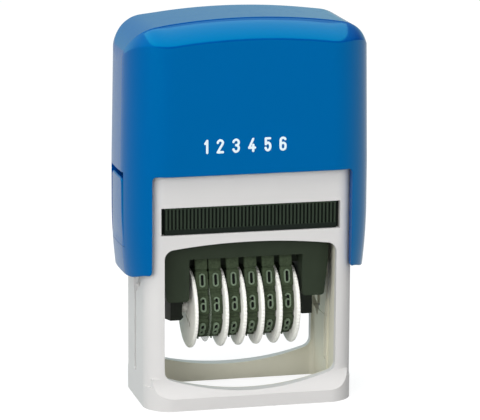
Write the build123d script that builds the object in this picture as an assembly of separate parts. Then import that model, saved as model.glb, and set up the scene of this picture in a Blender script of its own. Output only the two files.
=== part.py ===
"""Self-inking number stamp: a handle cap slides down a frame, and the carriage with six
number bands turns over between the ink pad and the paper.

Frame of the part: X to the right, Y to the back, Z up, millimetres. The origin is the middle
of the footprint, on the table. The pieces are drawn at rest, with the handle up.
"""
from build123d import *
import math
import os

# ---------------------------------------------------------------- frame
FRAME_DEPTH = 23.2
FRAME_CORNER = 4.1
FRAME_HEIGHT = 54.2
FRAME_WALL = 1.8
SIDE_WALL = 3.5
FRAME_INNER_CORNER = 1.2
DECK_THICKNESS = 2.0

FOOT_DEPTH = 27.4
FOOT_CORNER = 6.0
FOOT_BAND = 2.8
FOOT_FLARE_TOP = 7.0
FOOT_FLARE_SHARE = 0.22

WINDOW_SIDE_STEP = 0.7
WINDOW_TOP = 37.4
WINDOW_TOP_SAG = 1.4
WINDOW_BOTTOM = 3.7
WINDOW_BOTTOM_SAG = 3.4
WINDOW_CORNER = 2.2

CHANNEL_REAR = 6.8
CHANNEL_FRONT = -4.8
CHANNEL_DEPTH = 0.5
CHANNEL_TOP = 29.5
PANEL_FRONT = -1.2
PANEL_RISE = -3.9
RAMP_FRONT_RISE = 0.4
RAMP_REAR_RISE = -3.4
CAM_DEPTH = 0.9
CAM_POCKET_OUTLINE = (
    (-5.8, 8.9), (-4.4, 8.9), (-1.4, 6.3), (1.2, 8.3),
    (2.6, 8.3), (0.9, 4.3), (-0.9, 4.3), (-5.8, 7.3),
)
CAM_NOTCH_OUTLINE = (
    (9.5, -1.5), (9.5, -3.5), (6.9, -5.7), (6.2, -4.8), (6.2, -2.9),
)

# ---------------------------------------------------------------- stroke and turn-over
STROKE = 25.4
PRINT_REACH = 7.0
PRINT_GAP = 0.1
PIVOT_Z = STROKE + PRINT_REACH + PRINT_GAP
PIVOT_RADIUS = 0.8
PIVOT_SEAT = 3.0
PIVOT_CAP_SEAT = 2.0
RUNNING_FIT = 0.05

# ---------------------------------------------------------------- ink cartridge
PAD_GAP = 0.25
PAD_THICKNESS = 2.2
PAD_WIDTH = 35.0
PAD_DEPTH = 15.0
CARTRIDGE_SIDE_STEP = 0.05
CARTRIDGE_HEIGHT = 6.0
CARTRIDGE_FIT = 0.1
CARTRIDGE_LIFT = 0.1
CARTRIDGE_INSET = 0.35
SHOULDER_WIDTH = 0.75
SHOULDER_DEPTH = 1.2
RIB_COUNT = 47
RIB_PITCH = 0.83
RIB_DEPTH = 0.5
RIB_TOP_MARGIN = 0.35
RIB_BOTTOM_MARGIN = 1.15

# ---------------------------------------------------------------- handle cap
CAP_SIDE_THICKNESS = 4.05
CAP_TOP_DRAFT = 0.8
CAP_OVERHANG = 0.3
CAP_HALF_DEPTH = FOOT_DEPTH / 2 + CAP_OVERHANG
CAP_PLAN_CORNER = 10.0
CAP_TOP = 87.0
CAP_CROWN_SAG = 2.2
CAP_CORNER = 9.5
CAP_SIDE_BLEND = 60.0
CAP_ROLL = 4.7
CAP_WALL = 2.0
CAP_BOTTOM = 30.7
CAP_TAPER_TOP = 44.0
CAP_TAPER = 1.05
CAP_STRAIGHT_TOP = 54.0
CAP_CUT_INSET = 1.15
CAP_CUT_TOP = 52.9
CAP_CUT_CORNER = 1.0
CAP_CLEARANCE = 0.35
CAP_CHANNEL_TOP = 58.0
CAP_LANDING = 0.2

# ---------------------------------------------------------------- lock buttons
BUTTON_WIDTH = 12.0
BUTTON_GAP = 0.6
BUTTON_THICKNESS = 1.5
BUTTON_INSET = 0.75
BUTTON_TOP = 52.5
BUTTON_HINGE_Z = 35.4
BUTTON_HINGE_RADIUS = 0.5
BUTTON_BARREL_RADIUS = 1.0
BUTTON_PIN_OVERHANG = 1.0
BUTTON_TOP_CORNER = 1.5

# ---------------------------------------------------------------- spring and its guide
SPRING_RADIUS = 5.4
SPRING_WIRE = 0.9
SPRING_COILS = 8
SPRING_FLOOR_Z = 48.4
WELL_RADIUS = 6.6
WELL_WALL = 1.2
CORE_RADIUS = 4.2
CORE_LENGTH = 9.0
CORE_FLANGE_RADIUS = 7.5
CORE_FLANGE = 1.4
CORE_SEAT_GAP = 0.2

# ---------------------------------------------------------------- number stack
WHEEL_Z = 20.3
BAND_COUNT = 6
BAND_SIDE_GAP = 0.2
WHEEL_RADIUS = 9.25
WHEEL_THICKNESS = 0.9
WHEEL_TEETH = 66
WHEEL_TOOTH_DEPTH = 0.22
HUB_RADIUS = 5.9
AXLE_RADIUS = 1.25
AXLE_SEAT = 3.05
BAND_WIDTH = 2.8
BAND_THICKNESS = 0.8
DIGIT_HEIGHT = 4.0
DIGIT_RELIEF = 0.65
DIGIT_ROOT = 0.15
DIGIT_COUNT = 11
WHEEL_SIDE_GAP = 0.1
SEPARATOR_THICKNESS = 0.12
SEPARATOR_GAP = 0.07
SEPARATOR_RADIUS = 7.6
KEYHOLE_LENGTH = 4.7
KEYHOLE_WIDTH = 1.3
KEYHOLE_DROP = 2.5
KEYHOLE_Y = -1.8
KEYHOLE_DEPTH = 1.6
KEYHOLE_TILT = 25

BRIDGE_HALF_DEPTH = 2.2
BRIDGE_FIT = 0.05
BRIDGE_CORNER = 0.5
BRIDGE_BOTTOM = 29.9
BRIDGE_SIDE_TAB = 1.4
BRIDGE_TAB_HEIGHT = 3.0
BRIDGE_TAB_SHOULDER = 0.6

# ---------------------------------------------------------------- carriage
CARRIAGE_HALF_DEPTH = 7.0
CARRIAGE_TOP_DROP = 0.8
BEAM_BOTTOM = 32.8
BEAM_THICKNESS = 1.4
STACK_END_GAP = 0.82
LEG_THICKNESS = 5.95
LEG_DRAFT = 0.9
CARRIAGE_SIDE_GAP = 1.35
LEG_BOTTOM = 23.2
LEG_CORNER = 0.8
BRACKET_HALF_DEPTH = 3.0
BRACKET_TOP = 29.0
BRACKET_THICKNESS = 3.4
BRACKET_SIDE_STEP = 0.5
BRACKET_FRONT_DROP = 2.3
BRACKET_REAR_DROP = 3.3
BRACKET_CHAMFER = 0.6
SHAFT_SLOT_DEPTH = 0.25
SHAFT_SLOT_GAP = 0.1
PEG_RADIUS = 1.1
PEG_LENGTH = 0.8
PEG_Y = 4.6
PEG_DROP = 3.6

# ---------------------------------------------------------------- derived values
BAND_TO_WHEEL = BAND_WIDTH / 2 + WHEEL_THICKNESS / 2 + WHEEL_SIDE_GAP
BAND_PITCH = BAND_WIDTH + WHEEL_THICKNESS + 2 * WHEEL_SIDE_GAP + BAND_SIDE_GAP
FIRST_PAIR = 2 * BAND_TO_WHEEL + BAND_WIDTH + SEPARATOR_THICKNESS + 2 * SEPARATOR_GAP
LAST_WHEEL_X = (FIRST_PAIR + BAND_PITCH * (BAND_COUNT - 2)) / 2
LEG_INNER_X = LAST_WHEEL_X + WHEEL_THICKNESS / 2 + STACK_END_GAP
LEG_OUTER_X = LEG_INNER_X + LEG_THICKNESS
LEG_FOOT_X = LEG_OUTER_X - LEG_DRAFT
AXLE_HALF_LENGTH = LEG_INNER_X + AXLE_SEAT
INNER_HALF_WIDTH = LEG_OUTER_X + CARRIAGE_SIDE_GAP
FRAME_HALF_WIDTH = INNER_HALF_WIDTH + SIDE_WALL
FRAME_WIDTH = 2 * FRAME_HALF_WIDTH
WINDOW_WIDTH = 2 * (INNER_HALF_WIDTH - WINDOW_SIDE_STEP)
CARTRIDGE_WIDTH = 2 * (INNER_HALF_WIDTH - CARTRIDGE_SIDE_STEP)
REST_PRINT_Z = PIVOT_Z + PRINT_REACH
PAD_Z = REST_PRINT_Z + PAD_GAP
CARTRIDGE_Z = REST_PRINT_Z + CARTRIDGE_LIFT
CARTRIDGE_SLOT_Z = CARTRIDGE_Z - CARTRIDGE_FIT
FRAME_HALF_DEPTH = FRAME_DEPTH / 2
INNER_HALF_DEPTH = FRAME_HALF_DEPTH - FRAME_WALL
BAND_INNER_RADIUS = HUB_RADIUS + RUNNING_FIT
BAND_TOP_Z = REST_PRINT_Z - DIGIT_RELIEF
BRIDGE_TOP = BAND_TOP_Z - BAND_THICKNESS - BRIDGE_FIT
CAP_CEILING = CAP_TOP - CAP_WALL
CHANNEL_HALF_WIDTH = FRAME_HALF_WIDTH + CAP_CLEARANCE
CHANNEL_HALF_DEPTH = FRAME_HALF_DEPTH + CAP_CLEARANCE
CAP_HALF_WIDTH = CHANNEL_HALF_WIDTH + CAP_SIDE_THICKNESS
CAP_TOP_HALF_WIDTH = CAP_HALF_WIDTH - CAP_TOP_DRAFT
CAP_CUT_HALF_WIDTH = FRAME_HALF_WIDTH - CAP_CUT_INSET
BUTTON_FACE_X = CAP_HALF_WIDTH - BUTTON_INSET
WHOLE = 200.0


def save(shape, node):
    """Write one node's solid as a STEP file."""
    export_step(shape, "parts/" + node + ".step")


def rounded_box(width, depth, corner, bottom, top):
    """Upright block with rounded vertical corners."""
    return Pos(0, 0, bottom) * extrude(RectangleRounded(width, depth, corner), top - bottom)


def block(x_low, x_high, y_low, y_high, z_low, z_high):
    """Plain block between two corners."""
    size = (x_high - x_low, y_high - y_low, z_high - z_low)
    middle = ((x_low + x_high) / 2, (y_low + y_high) / 2, (z_low + z_high) / 2)
    return Pos(*middle) * Box(*size)


def along_y(face, half_depth):
    """Extrude a face drawn in X and Z both ways along Y."""
    return extrude(Plane.XZ * face, half_depth, both=True)


def along_x(face, x_low, x_high):
    """Extrude a face drawn in Y and Z from one X to another."""
    return extrude(Plane.YZ.offset(x_low) * face, x_high - x_low)


def rod_along_x(radius, x_low, x_high, y, z):
    """Round bar along X."""
    return along_x(Pos(y, z) * Circle(radius), x_low, x_high)


def rod_along_y(radius, half_length, x, z):
    """Round bar along Y, centred on Y = 0."""
    return along_y(Pos(x, z) * Circle(radius), half_length)


# ---------------------------------------------------------------- frame
def window_face():
    """Window outline: arched top, bowed sill, rounded corners."""
    half = WINDOW_WIDTH / 2
    top_corner = WINDOW_TOP - WINDOW_TOP_SAG
    low_corner = WINDOW_BOTTOM + WINDOW_BOTTOM_SAG
    top = ThreePointArc((half, top_corner), (0, WINDOW_TOP), (-half, top_corner))
    left = Line((-half, top_corner), (-half, low_corner))
    bottom = ThreePointArc((-half, low_corner), (0, WINDOW_BOTTOM), (half, low_corner))
    right = Line((half, low_corner), (half, top_corner))
    face = make_face([top, left, bottom, right])
    return fillet(face.vertices(), WINDOW_CORNER)


def foot_block():
    """Foot that flares into the front and back faces, with room for the pressed cap's wings."""
    body = FRAME_HALF_DEPTH
    foot = FOOT_DEPTH / 2
    flare = foot - body
    start = (foot, FOOT_BAND)
    middle = (body + FOOT_FLARE_SHARE * flare, (FOOT_BAND + FOOT_FLARE_TOP) / 2)
    end = (body, FOOT_FLARE_TOP)
    front = ThreePointArc(start, middle, end)
    back = mirror(front, Plane.YZ)
    lines = [
        Line((-foot, 0), (foot, 0)),
        Line((foot, 0), start),
        front,
        Line(end, (-body, FOOT_FLARE_TOP)),
        back,
        Line((-foot, FOOT_BAND), (-foot, 0)),
    ]
    flared = along_x(make_face(lines), -FRAME_HALF_WIDTH, FRAME_HALF_WIDTH)
    flared &= rounded_box(FRAME_WIDTH, FOOT_DEPTH, FOOT_CORNER, 0, FOOT_FLARE_TOP)
    landing_z = CAP_BOTTOM - STROKE - CAP_LANDING
    landing_x = CAP_CUT_HALF_WIDTH - CAP_LANDING
    room = block(landing_x, FRAME_WIDTH, -FOOT_DEPTH, FOOT_DEPTH, landing_z, FRAME_HEIGHT)
    return flared - [room, mirror(room, Plane.YZ)]


def pin_slot():
    """Upright slot for the carriage's pivot pins, through both side walls."""
    half = PIVOT_RADIUS + RUNNING_FIT
    low = PIVOT_Z - STROKE
    straight = along_x(
        Pos(0, (low + PIVOT_Z) / 2) * Rectangle(2 * half, STROKE),
        -FRAME_WIDTH,
        FRAME_WIDTH,
    )
    ends = [rod_along_x(half, -FRAME_WIDTH, FRAME_WIDTH, 0, z) for z in (low, PIVOT_Z)]
    return straight + ends


def cam_cut(outline, x_low, x_high):
    """Prism along X of an outline given in Y and in Z above the wheel shaft, and its mirror."""
    points = [(y, WHEEL_Z + rise) for y, rise in outline]
    right = along_x(make_face(Polyline(*points, close=True)), x_low, x_high)
    return right + mirror(right, Plane.YZ)


def cam_pocket():
    """Forked pocket on each outer face, where the turn-over cam meets the pin slot."""
    return cam_cut(CAM_POCKET_OUTLINE, FRAME_HALF_WIDTH - CAM_DEPTH, FRAME_WIDTH)


def cam_notch():
    """Slanted notch on the inner face of each side wall."""
    floor_x = INNER_HALF_WIDTH + CHANNEL_DEPTH + CAM_DEPTH
    return cam_cut(CAM_NOTCH_OUTLINE, 0, floor_x)


def channel():
    """Relief of the inner faces: wide where the carriage turns, a ramp, and a strip below."""
    floor_x = INNER_HALF_WIDTH + CHANNEL_DEPTH
    top = CHANNEL_TOP - WHEEL_Z
    wide = (
        (CHANNEL_FRONT, top), (CHANNEL_REAR, top), (CHANNEL_REAR, RAMP_REAR_RISE),
        (PANEL_FRONT, RAMP_FRONT_RISE), (CHANNEL_FRONT, RAMP_FRONT_RISE),
    )
    ramp = (
        (PANEL_FRONT, top), (CHANNEL_REAR, top), (CHANNEL_REAR, PANEL_RISE),
        (PANEL_FRONT, PANEL_RISE),
    )
    strip = block(-floor_x, floor_x, CHANNEL_FRONT, PANEL_FRONT, -1, CHANNEL_TOP)
    half_floor_x = INNER_HALF_WIDTH + CHANNEL_DEPTH / 2
    return strip + cam_cut(wide, 0, floor_x) + cam_cut(ramp, 0, half_floor_x)


def frame():
    """Hollow frame, open below, with front and back windows and a cross slot for the ink."""
    body = rounded_box(FRAME_WIDTH, FRAME_DEPTH, FRAME_CORNER, 0, FRAME_HEIGHT) + foot_block()
    well_bottom = SPRING_FLOOR_Z - WELL_WALL
    hollow = rounded_box(
        2 * INNER_HALF_WIDTH, 2 * INNER_HALF_DEPTH, FRAME_INNER_CORNER, -1,
        FRAME_HEIGHT - DECK_THICKNESS,
    )
    well_outside = WELL_RADIUS + WELL_WALL
    hollow -= Pos(0, 0, well_bottom) * Cylinder(
        well_outside, FRAME_HEIGHT, align=(Align.CENTER, Align.CENTER, Align.MIN)
    )
    body -= hollow
    body -= Pos(0, 0, SPRING_FLOOR_Z) * Cylinder(
        WELL_RADIUS, FRAME_HEIGHT, align=(Align.CENTER, Align.CENTER, Align.MIN)
    )
    body -= along_y(window_face(), FOOT_DEPTH)
    slot_half = CARTRIDGE_WIDTH / 2 + CARTRIDGE_FIT
    body -= block(
        -slot_half, slot_half, -FOOT_DEPTH, FOOT_DEPTH,
        CARTRIDGE_SLOT_Z, CARTRIDGE_SLOT_Z + CARTRIDGE_HEIGHT + 2 * CARTRIDGE_FIT,
    )
    body -= pin_slot()
    body -= cam_pocket()
    body -= cam_notch()
    body -= channel()
    return body


# ---------------------------------------------------------------- ink cartridge
def ink_cartridge():
    """Cartridge body that crosses the frame, ribbed at both ends, with a tray for the pad."""
    half_width = CARTRIDGE_WIDTH / 2
    half_depth = FRAME_HALF_DEPTH - CARTRIDGE_INSET
    top = CARTRIDGE_Z + CARTRIDGE_HEIGHT
    body = block(-half_width, half_width, -half_depth, half_depth, CARTRIDGE_Z, top)
    body -= block(
        -PAD_WIDTH / 2, PAD_WIDTH / 2, -PAD_DEPTH / 2, PAD_DEPTH / 2,
        CARTRIDGE_Z - 1, PAD_Z + PAD_THICKNESS,
    )
    shoulder = block(
        half_width - SHOULDER_WIDTH, half_width, half_depth - SHOULDER_DEPTH, half_depth,
        CARTRIDGE_Z, top,
    )
    corners = [shoulder, mirror(shoulder, Plane.XZ)]
    body -= corners + [mirror(corner, Plane.YZ) for corner in corners]
    first = -RIB_PITCH * RIB_COUNT / 2
    groove = RIB_PITCH / 4
    for index in range(RIB_COUNT + 1):
        x = first + index * RIB_PITCH
        cut = block(
            x - groove, x + groove, half_depth - RIB_DEPTH, FOOT_DEPTH,
            CARTRIDGE_Z + RIB_BOTTOM_MARGIN, top - RIB_TOP_MARGIN,
        )
        body -= [cut, mirror(cut, Plane.XZ)]
    return body


def ink_pad():
    """Felt pad in the cartridge's tray, facing down."""
    return block(
        -PAD_WIDTH / 2, PAD_WIDTH / 2, -PAD_DEPTH / 2, PAD_DEPTH / 2,
        PAD_Z, PAD_Z + PAD_THICKNESS,
    )


# ---------------------------------------------------------------- handle cap
def cap_form(inset, bottom):
    """Closed outer form of the cap, or of its hollow when inset is more than nothing."""
    foot = CAP_HALF_WIDTH - CAP_TAPER - inset
    wide = CAP_HALF_WIDTH - inset
    narrow = CAP_TOP_HALF_WIDTH - inset
    top = CAP_TOP - inset
    shoulder_z = top - CAP_CROWN_SAG
    taper_middle = (wide - CAP_TAPER / 4, (CAP_BOTTOM + CAP_TAPER_TOP) / 2)
    taper = ThreePointArc((foot, CAP_BOTTOM), taper_middle, (wide, CAP_TAPER_TOP))
    right = Polyline((wide, CAP_TAPER_TOP), (wide, CAP_STRAIGHT_TOP), (narrow, shoulder_z))
    crown = ThreePointArc((narrow, shoulder_z), (0, top), (-narrow, shoulder_z))
    base = Line((-foot, CAP_BOTTOM), (foot, CAP_BOTTOM))
    face = make_face([taper, right, crown, mirror(right, Plane.YZ), mirror(taper, Plane.YZ), base])
    face = fillet(face.vertices().group_by(Axis.Y)[3], CAP_CORNER - inset)
    face = fillet(face.vertices().group_by(Axis.Y)[2], CAP_SIDE_BLEND)
    depth = CAP_HALF_DEPTH - inset
    slab = along_y(face, depth)
    rims = [
        edge for edge in slab.edges()
        if abs(abs(edge.center().Y) - depth) < 0.01 and edge.center().Z > CAP_BOTTOM + 1
    ]
    slab = fillet(rims, CAP_ROLL - inset / 2)
    plan = rounded_box(2 * wide, 2 * depth, CAP_PLAN_CORNER - inset, bottom, CAP_TOP)
    return slab & plan


def cap():
    """Handle cap: open below, cut away at front and back, with a wing down each side."""
    body = cap_form(0, CAP_BOTTOM)
    body -= cap_form(CAP_WALL, CAP_CHANNEL_TOP)
    body -= rounded_box(
        2 * CHANNEL_HALF_WIDTH, 2 * CHANNEL_HALF_DEPTH, FRAME_CORNER + CAP_CLEARANCE,
        CAP_BOTTOM - 1, CAP_CHANNEL_TOP,
    )
    cut_height = CAP_CUT_TOP - CAP_BOTTOM
    cut = Pos(0, CAP_CUT_TOP - cut_height) * RectangleRounded(
        2 * CAP_CUT_HALF_WIDTH, 2 * cut_height, CAP_CUT_CORNER
    )
    body -= along_y(cut, FOOT_DEPTH)
    half = BUTTON_WIDTH / 2 + BUTTON_GAP
    low = BUTTON_HINGE_Z - BUTTON_BARREL_RADIUS - BUTTON_GAP
    for side in (-1, 1):
        near = side * (CHANNEL_HALF_WIDTH - 1)
        far = side * (CAP_HALF_WIDTH + 1)
        body -= block(min(near, far), max(near, far), -half, half, low, BUTTON_TOP + BUTTON_GAP)
        body -= button_pin(side)
        body -= pivot_pin(side)
    return body


def cap_core():
    """Flanged post under the cap's ceiling that centres the spring."""
    flange_z = CAP_CEILING - CORE_FLANGE - CORE_SEAT_GAP
    anchor = (Align.CENTER, Align.CENTER, Align.MAX)
    post = Pos(0, 0, flange_z) * Cylinder(CORE_RADIUS, CORE_LENGTH, align=anchor)
    flange = Pos(0, 0, flange_z) * Cylinder(CORE_FLANGE_RADIUS, CORE_FLANGE, align=(
        Align.CENTER, Align.CENTER, Align.MIN))
    return post + flange


def return_spring():
    """Coil spring between the well's floor and the cap's flanged post."""
    seat_z = CAP_CEILING - CORE_FLANGE - CORE_SEAT_GAP
    low = SPRING_FLOOR_Z + SPRING_WIRE / 2
    high = seat_z - SPRING_WIRE / 2
    path = Pos(0, 0, low) * Helix((high - low) / SPRING_COILS, high - low, SPRING_RADIUS)
    section = Plane(origin=path @ 0, z_dir=path % 0) * Circle(SPRING_WIRE / 2)
    return sweep(section, path)


# ---------------------------------------------------------------- lock buttons and pins
def lock_button(side):
    """Tongue in the side of the cap, hinged at its lower end."""
    inner = BUTTON_FACE_X - BUTTON_THICKNESS
    hinge_x = BUTTON_FACE_X - BUTTON_BARREL_RADIUS
    half = BUTTON_WIDTH / 2
    tongue = block(inner, BUTTON_FACE_X, -half, half, BUTTON_HINGE_Z, BUTTON_TOP)
    top_edges = tongue.edges().filter_by(Axis.X).group_by(Axis.Z)[-1]
    tongue = fillet(top_edges, BUTTON_TOP_CORNER)
    barrel = rod_along_y(BUTTON_BARREL_RADIUS, half, hinge_x, BUTTON_HINGE_Z)
    body = tongue + barrel
    body -= rod_along_y(BUTTON_HINGE_RADIUS + RUNNING_FIT, half + 1, hinge_x, BUTTON_HINGE_Z)
    return body if side > 0 else mirror(body, Plane.YZ)


def button_pin(side):
    """Hinge pin of a lock button, pressed into the cap on both sides of it."""
    half = BUTTON_WIDTH / 2 + BUTTON_GAP + BUTTON_PIN_OVERHANG
    hinge_x = BUTTON_FACE_X - BUTTON_BARREL_RADIUS
    return rod_along_y(BUTTON_HINGE_RADIUS, half, side * hinge_x, BUTTON_HINGE_Z)


def pivot_pin(side):
    """Pin that hangs the carriage from the cap's wing, through the frame's slot."""
    near = LEG_OUTER_X - PIVOT_SEAT
    far = CHANNEL_HALF_WIDTH + PIVOT_CAP_SEAT
    x_low, x_high = (near, far) if side > 0 else (-far, -near)
    return rod_along_x(PIVOT_RADIUS, x_low, x_high, 0, PIVOT_Z)


# ---------------------------------------------------------------- number stack
def wheel_x(index):
    """Middle of a thumbwheel's disc. The first wheel faces the other way round."""
    if index == 0:
        return -LAST_WHEEL_X
    return LAST_WHEEL_X - BAND_PITCH * (BAND_COUNT - 1 - index)


def band_x(index):
    """Middle of a number band, beside its thumbwheel's disc."""
    return wheel_x(index) + (BAND_TO_WHEEL if index == 0 else -BAND_TO_WHEEL)


def toothed_disc():
    """Thumbwheel outline with fine teeth, drawn in Y and Z about its own centre."""
    points = []
    for step in range(2 * WHEEL_TEETH):
        radius = WHEEL_RADIUS if step % 2 == 0 else WHEEL_RADIUS - WHEEL_TOOTH_DEPTH
        angle = math.pi * step / WHEEL_TEETH
        points.append((radius * math.sin(angle), radius * math.cos(angle)))
    return make_face(Polyline(*points, close=True))


def number_wheel(index):
    """Thumbwheel with the hub that drives its band."""
    middle = wheel_x(index)
    disc = along_x(
        Pos(0, WHEEL_Z) * toothed_disc(),
        middle - WHEEL_THICKNESS / 2,
        middle + WHEEL_THICKNESS / 2,
    )
    band = band_x(index)
    far = band + (BAND_WIDTH / 2 if index == 0 else -BAND_WIDTH / 2)
    hub = rod_along_x(HUB_RADIUS, min(far, middle), max(far, middle), 0, WHEEL_Z)
    body = disc + hub - rod_along_x(AXLE_RADIUS + RUNNING_FIT, -WHOLE, WHOLE, 0, WHEEL_Z)
    if index == 0:
        place = Pos(KEYHOLE_Y, WHEEL_Z - KEYHOLE_DROP)
        slot = place * SlotOverall(KEYHOLE_LENGTH, KEYHOLE_WIDTH, KEYHOLE_TILT)
        face_x = middle - WHEEL_THICKNESS / 2
        body -= along_x(slot, face_x - 1, face_x + KEYHOLE_DEPTH)
    return body


def loop_face(radius, half_depth, top, corner):
    """Belt outline round the hub and over the bridge, drawn in Y and Z."""
    apex_z = top - corner
    apex_y = half_depth - corner
    ring = [Pos(0, WHEEL_Z) * Edge.make_circle(radius)]
    nose = [Pos(side * apex_y, apex_z) * Edge.make_circle(corner) for side in (-1, 1)]
    return make_hull(ring + nose)


def number_band(index):
    """Rubber belt with a raised block for each figure and one blank."""
    inner = loop_face(BAND_INNER_RADIUS, BRIDGE_HALF_DEPTH + BRIDGE_FIT, BRIDGE_TOP + BRIDGE_FIT,
                      BRIDGE_CORNER + BRIDGE_FIT)
    outer = loop_face(
        BAND_INNER_RADIUS + BAND_THICKNESS,
        BRIDGE_HALF_DEPTH + BRIDGE_FIT + BAND_THICKNESS,
        BAND_TOP_Z,
        BRIDGE_CORNER + BRIDGE_FIT + BAND_THICKNESS,
    )
    wire = outer.face().outer_wire()
    profile = outer
    top_share = wire.param_at_point(Vector(0, BAND_TOP_Z, 0))
    for step in range(DIGIT_COUNT):
        share = (top_share + step / DIGIT_COUNT) % 1.0
        point = wire.position_at(share)
        tangent = wire.tangent_at(share)
        turn = math.degrees(math.atan2(tangent.Y, tangent.X))
        outward = Vector(tangent.Y, -tangent.X, 0)
        if outward.dot(point - Vector(0, BRIDGE_BOTTOM, 0)) < 0:
            outward = -outward
        middle = point + outward * (DIGIT_RELIEF - DIGIT_ROOT) / 2
        pad = Rectangle(DIGIT_HEIGHT, DIGIT_RELIEF + DIGIT_ROOT)
        profile += Pos(middle.X, middle.Y) * Rot(0, 0, turn) * pad
    profile -= inner
    middle_x = band_x(index)
    return along_x(profile, middle_x - BAND_WIDTH / 2, middle_x + BAND_WIDTH / 2)


def print_bridge():
    """Bar that the bands run over, behind the figures being printed."""
    half_length = LEG_INNER_X
    outline = Pos(0, (BRIDGE_BOTTOM + BRIDGE_TOP) / 2) * RectangleRounded(
        2 * BRIDGE_HALF_DEPTH, BRIDGE_TOP - BRIDGE_BOTTOM, BRIDGE_CORNER
    )
    bar = along_x(outline, -half_length, half_length)
    tongue_depth = 2 * (BRIDGE_HALF_DEPTH - BRIDGE_TAB_SHOULDER)
    tongue = Pos(0, PIVOT_Z) * Rectangle(tongue_depth, BRIDGE_TAB_HEIGHT)
    tongues = along_x(tongue, -half_length - BRIDGE_SIDE_TAB, half_length + BRIDGE_SIDE_TAB)
    return bar + tongues


def wheel_axle():
    """Shaft of the six thumbwheels, held in the two brackets."""
    return rod_along_x(AXLE_RADIUS, -AXLE_HALF_LENGTH, AXLE_HALF_LENGTH, 0, WHEEL_Z)


def band_separator():
    """Thin washer on the shaft between the first two bands."""
    middle = (band_x(0) + band_x(1)) / 2
    x_low = middle - SEPARATOR_THICKNESS / 2
    x_high = middle + SEPARATOR_THICKNESS / 2
    disc = rod_along_x(SEPARATOR_RADIUS, x_low, x_high, 0, WHEEL_Z)
    return disc - rod_along_x(AXLE_RADIUS, x_low - 1, x_high + 1, 0, WHEEL_Z)


# ---------------------------------------------------------------- carriage
def leg_face():
    """Front view of a carriage side block, with its outer edge drawn in at the foot."""
    top = REST_PRINT_Z - CARRIAGE_TOP_DROP
    outline = Polyline(
        (LEG_INNER_X, top), (LEG_OUTER_X, top), (LEG_OUTER_X, BEAM_BOTTOM - 1.0),
        (LEG_FOOT_X, LEG_BOTTOM), (LEG_INNER_X, LEG_BOTTOM), close=True,
    )
    face = make_face(outline)
    return fillet(face.vertices().group_by(Axis.Y)[0], LEG_CORNER)


def bracket_space(x_low, x_high):
    """Room for an axle bracket inside a carriage side block."""
    return block(
        x_low, x_high, -BRACKET_HALF_DEPTH, BRACKET_HALF_DEPTH, LEG_BOTTOM - 1, BRACKET_TOP,
    )


def carriage():
    """Housing of the number stack: front and back beams between two side blocks."""
    top = REST_PRINT_Z - CARRIAGE_TOP_DROP
    depth = CARRIAGE_HALF_DEPTH
    side = along_y(leg_face(), depth)
    side -= bracket_space(LEG_INNER_X - 1, LEG_INNER_X + BRACKET_THICKNESS)
    hole_end = LEG_OUTER_X - PIVOT_SEAT - RUNNING_FIT
    side -= rod_along_x(PIVOT_RADIUS + RUNNING_FIT, hole_end, LEG_OUTER_X + 1, 0, PIVOT_Z)
    peg_z = PIVOT_Z - PEG_DROP
    side += rod_along_x(PEG_RADIUS, LEG_FOOT_X - 1, LEG_OUTER_X + PEG_LENGTH, PEG_Y, peg_z)
    body = side + mirror(side, Plane.YZ)
    reach = LEG_INNER_X + 1.0
    body += block(-reach, reach, -depth, -depth + BEAM_THICKNESS, BEAM_BOTTOM, top)
    body += block(-reach, reach, depth - BEAM_THICKNESS, depth, BEAM_BOTTOM, top)
    body -= print_bridge()
    return body


def axle_bracket(side):
    """Bearing plate of the shaft, let into a carriage side block and open to the front."""
    x_low = LEG_INNER_X + BRACKET_SIDE_STEP
    x_high = LEG_INNER_X + BRACKET_THICKNESS
    depth = BRACKET_HALF_DEPTH
    outline = Polyline(
        (-depth, BRACKET_TOP), (depth, BRACKET_TOP), (depth, WHEEL_Z - BRACKET_REAR_DROP),
        (-depth, WHEEL_Z - BRACKET_FRONT_DROP), close=True,
    )
    body = along_x(make_face(outline), x_low, x_high)
    lower_inner = body.faces().sort_by(Axis.X)[0].edges().sort_by(Axis.Z)[0]
    body = chamfer(lower_inner, BRACKET_CHAMFER)
    body -= rod_along_x(AXLE_RADIUS, x_low - 1, AXLE_HALF_LENGTH, 0, WHEEL_Z)
    slot = AXLE_RADIUS + SHAFT_SLOT_GAP
    body -= block(
        x_low, x_low + SHAFT_SLOT_DEPTH, -depth, 0, WHEEL_Z - slot, WHEEL_Z + slot,
    )
    return body if side > 0 else mirror(body, Plane.YZ)


# ---------------------------------------------------------------- write every node
os.makedirs("parts", exist_ok=True)
save(frame(), "frame")
save(ink_cartridge(), "ink_cartridge")
save(ink_pad(), "ink_pad")
save(cap(), "cap")
save(cap_core(), "cap_core")
save(return_spring(), "return_spring")
for name, sign in (("left", -1), ("right", 1)):
    save(lock_button(sign), "lock_button_" + name)
    save(button_pin(sign), "button_pin_" + name)
    save(pivot_pin(sign), "pivot_pin_" + name)
    save(axle_bracket(sign), "axle_bracket_" + name)
save(carriage(), "carriage")
save(print_bridge(), "print_bridge")
save(wheel_axle(), "wheel_axle")
save(band_separator(), "band_separator")
for number in range(BAND_COUNT):
    save(number_wheel(number), "number_wheel_" + str(number + 1))
    save(number_band(number), "number_band_" + str(number + 1))
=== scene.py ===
"""Looks of a self-inking number stamp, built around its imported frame.

Sizes of shapes are in millimetres and become metres where a mesh is made. Settings,
finishes and the stage are in metres.
X runs to the right, Y to the back and Z up, with the origin on the table.
"""

import math

import bmesh
import bpy
import numpy as np
from mathutils import Matrix, Vector


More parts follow.
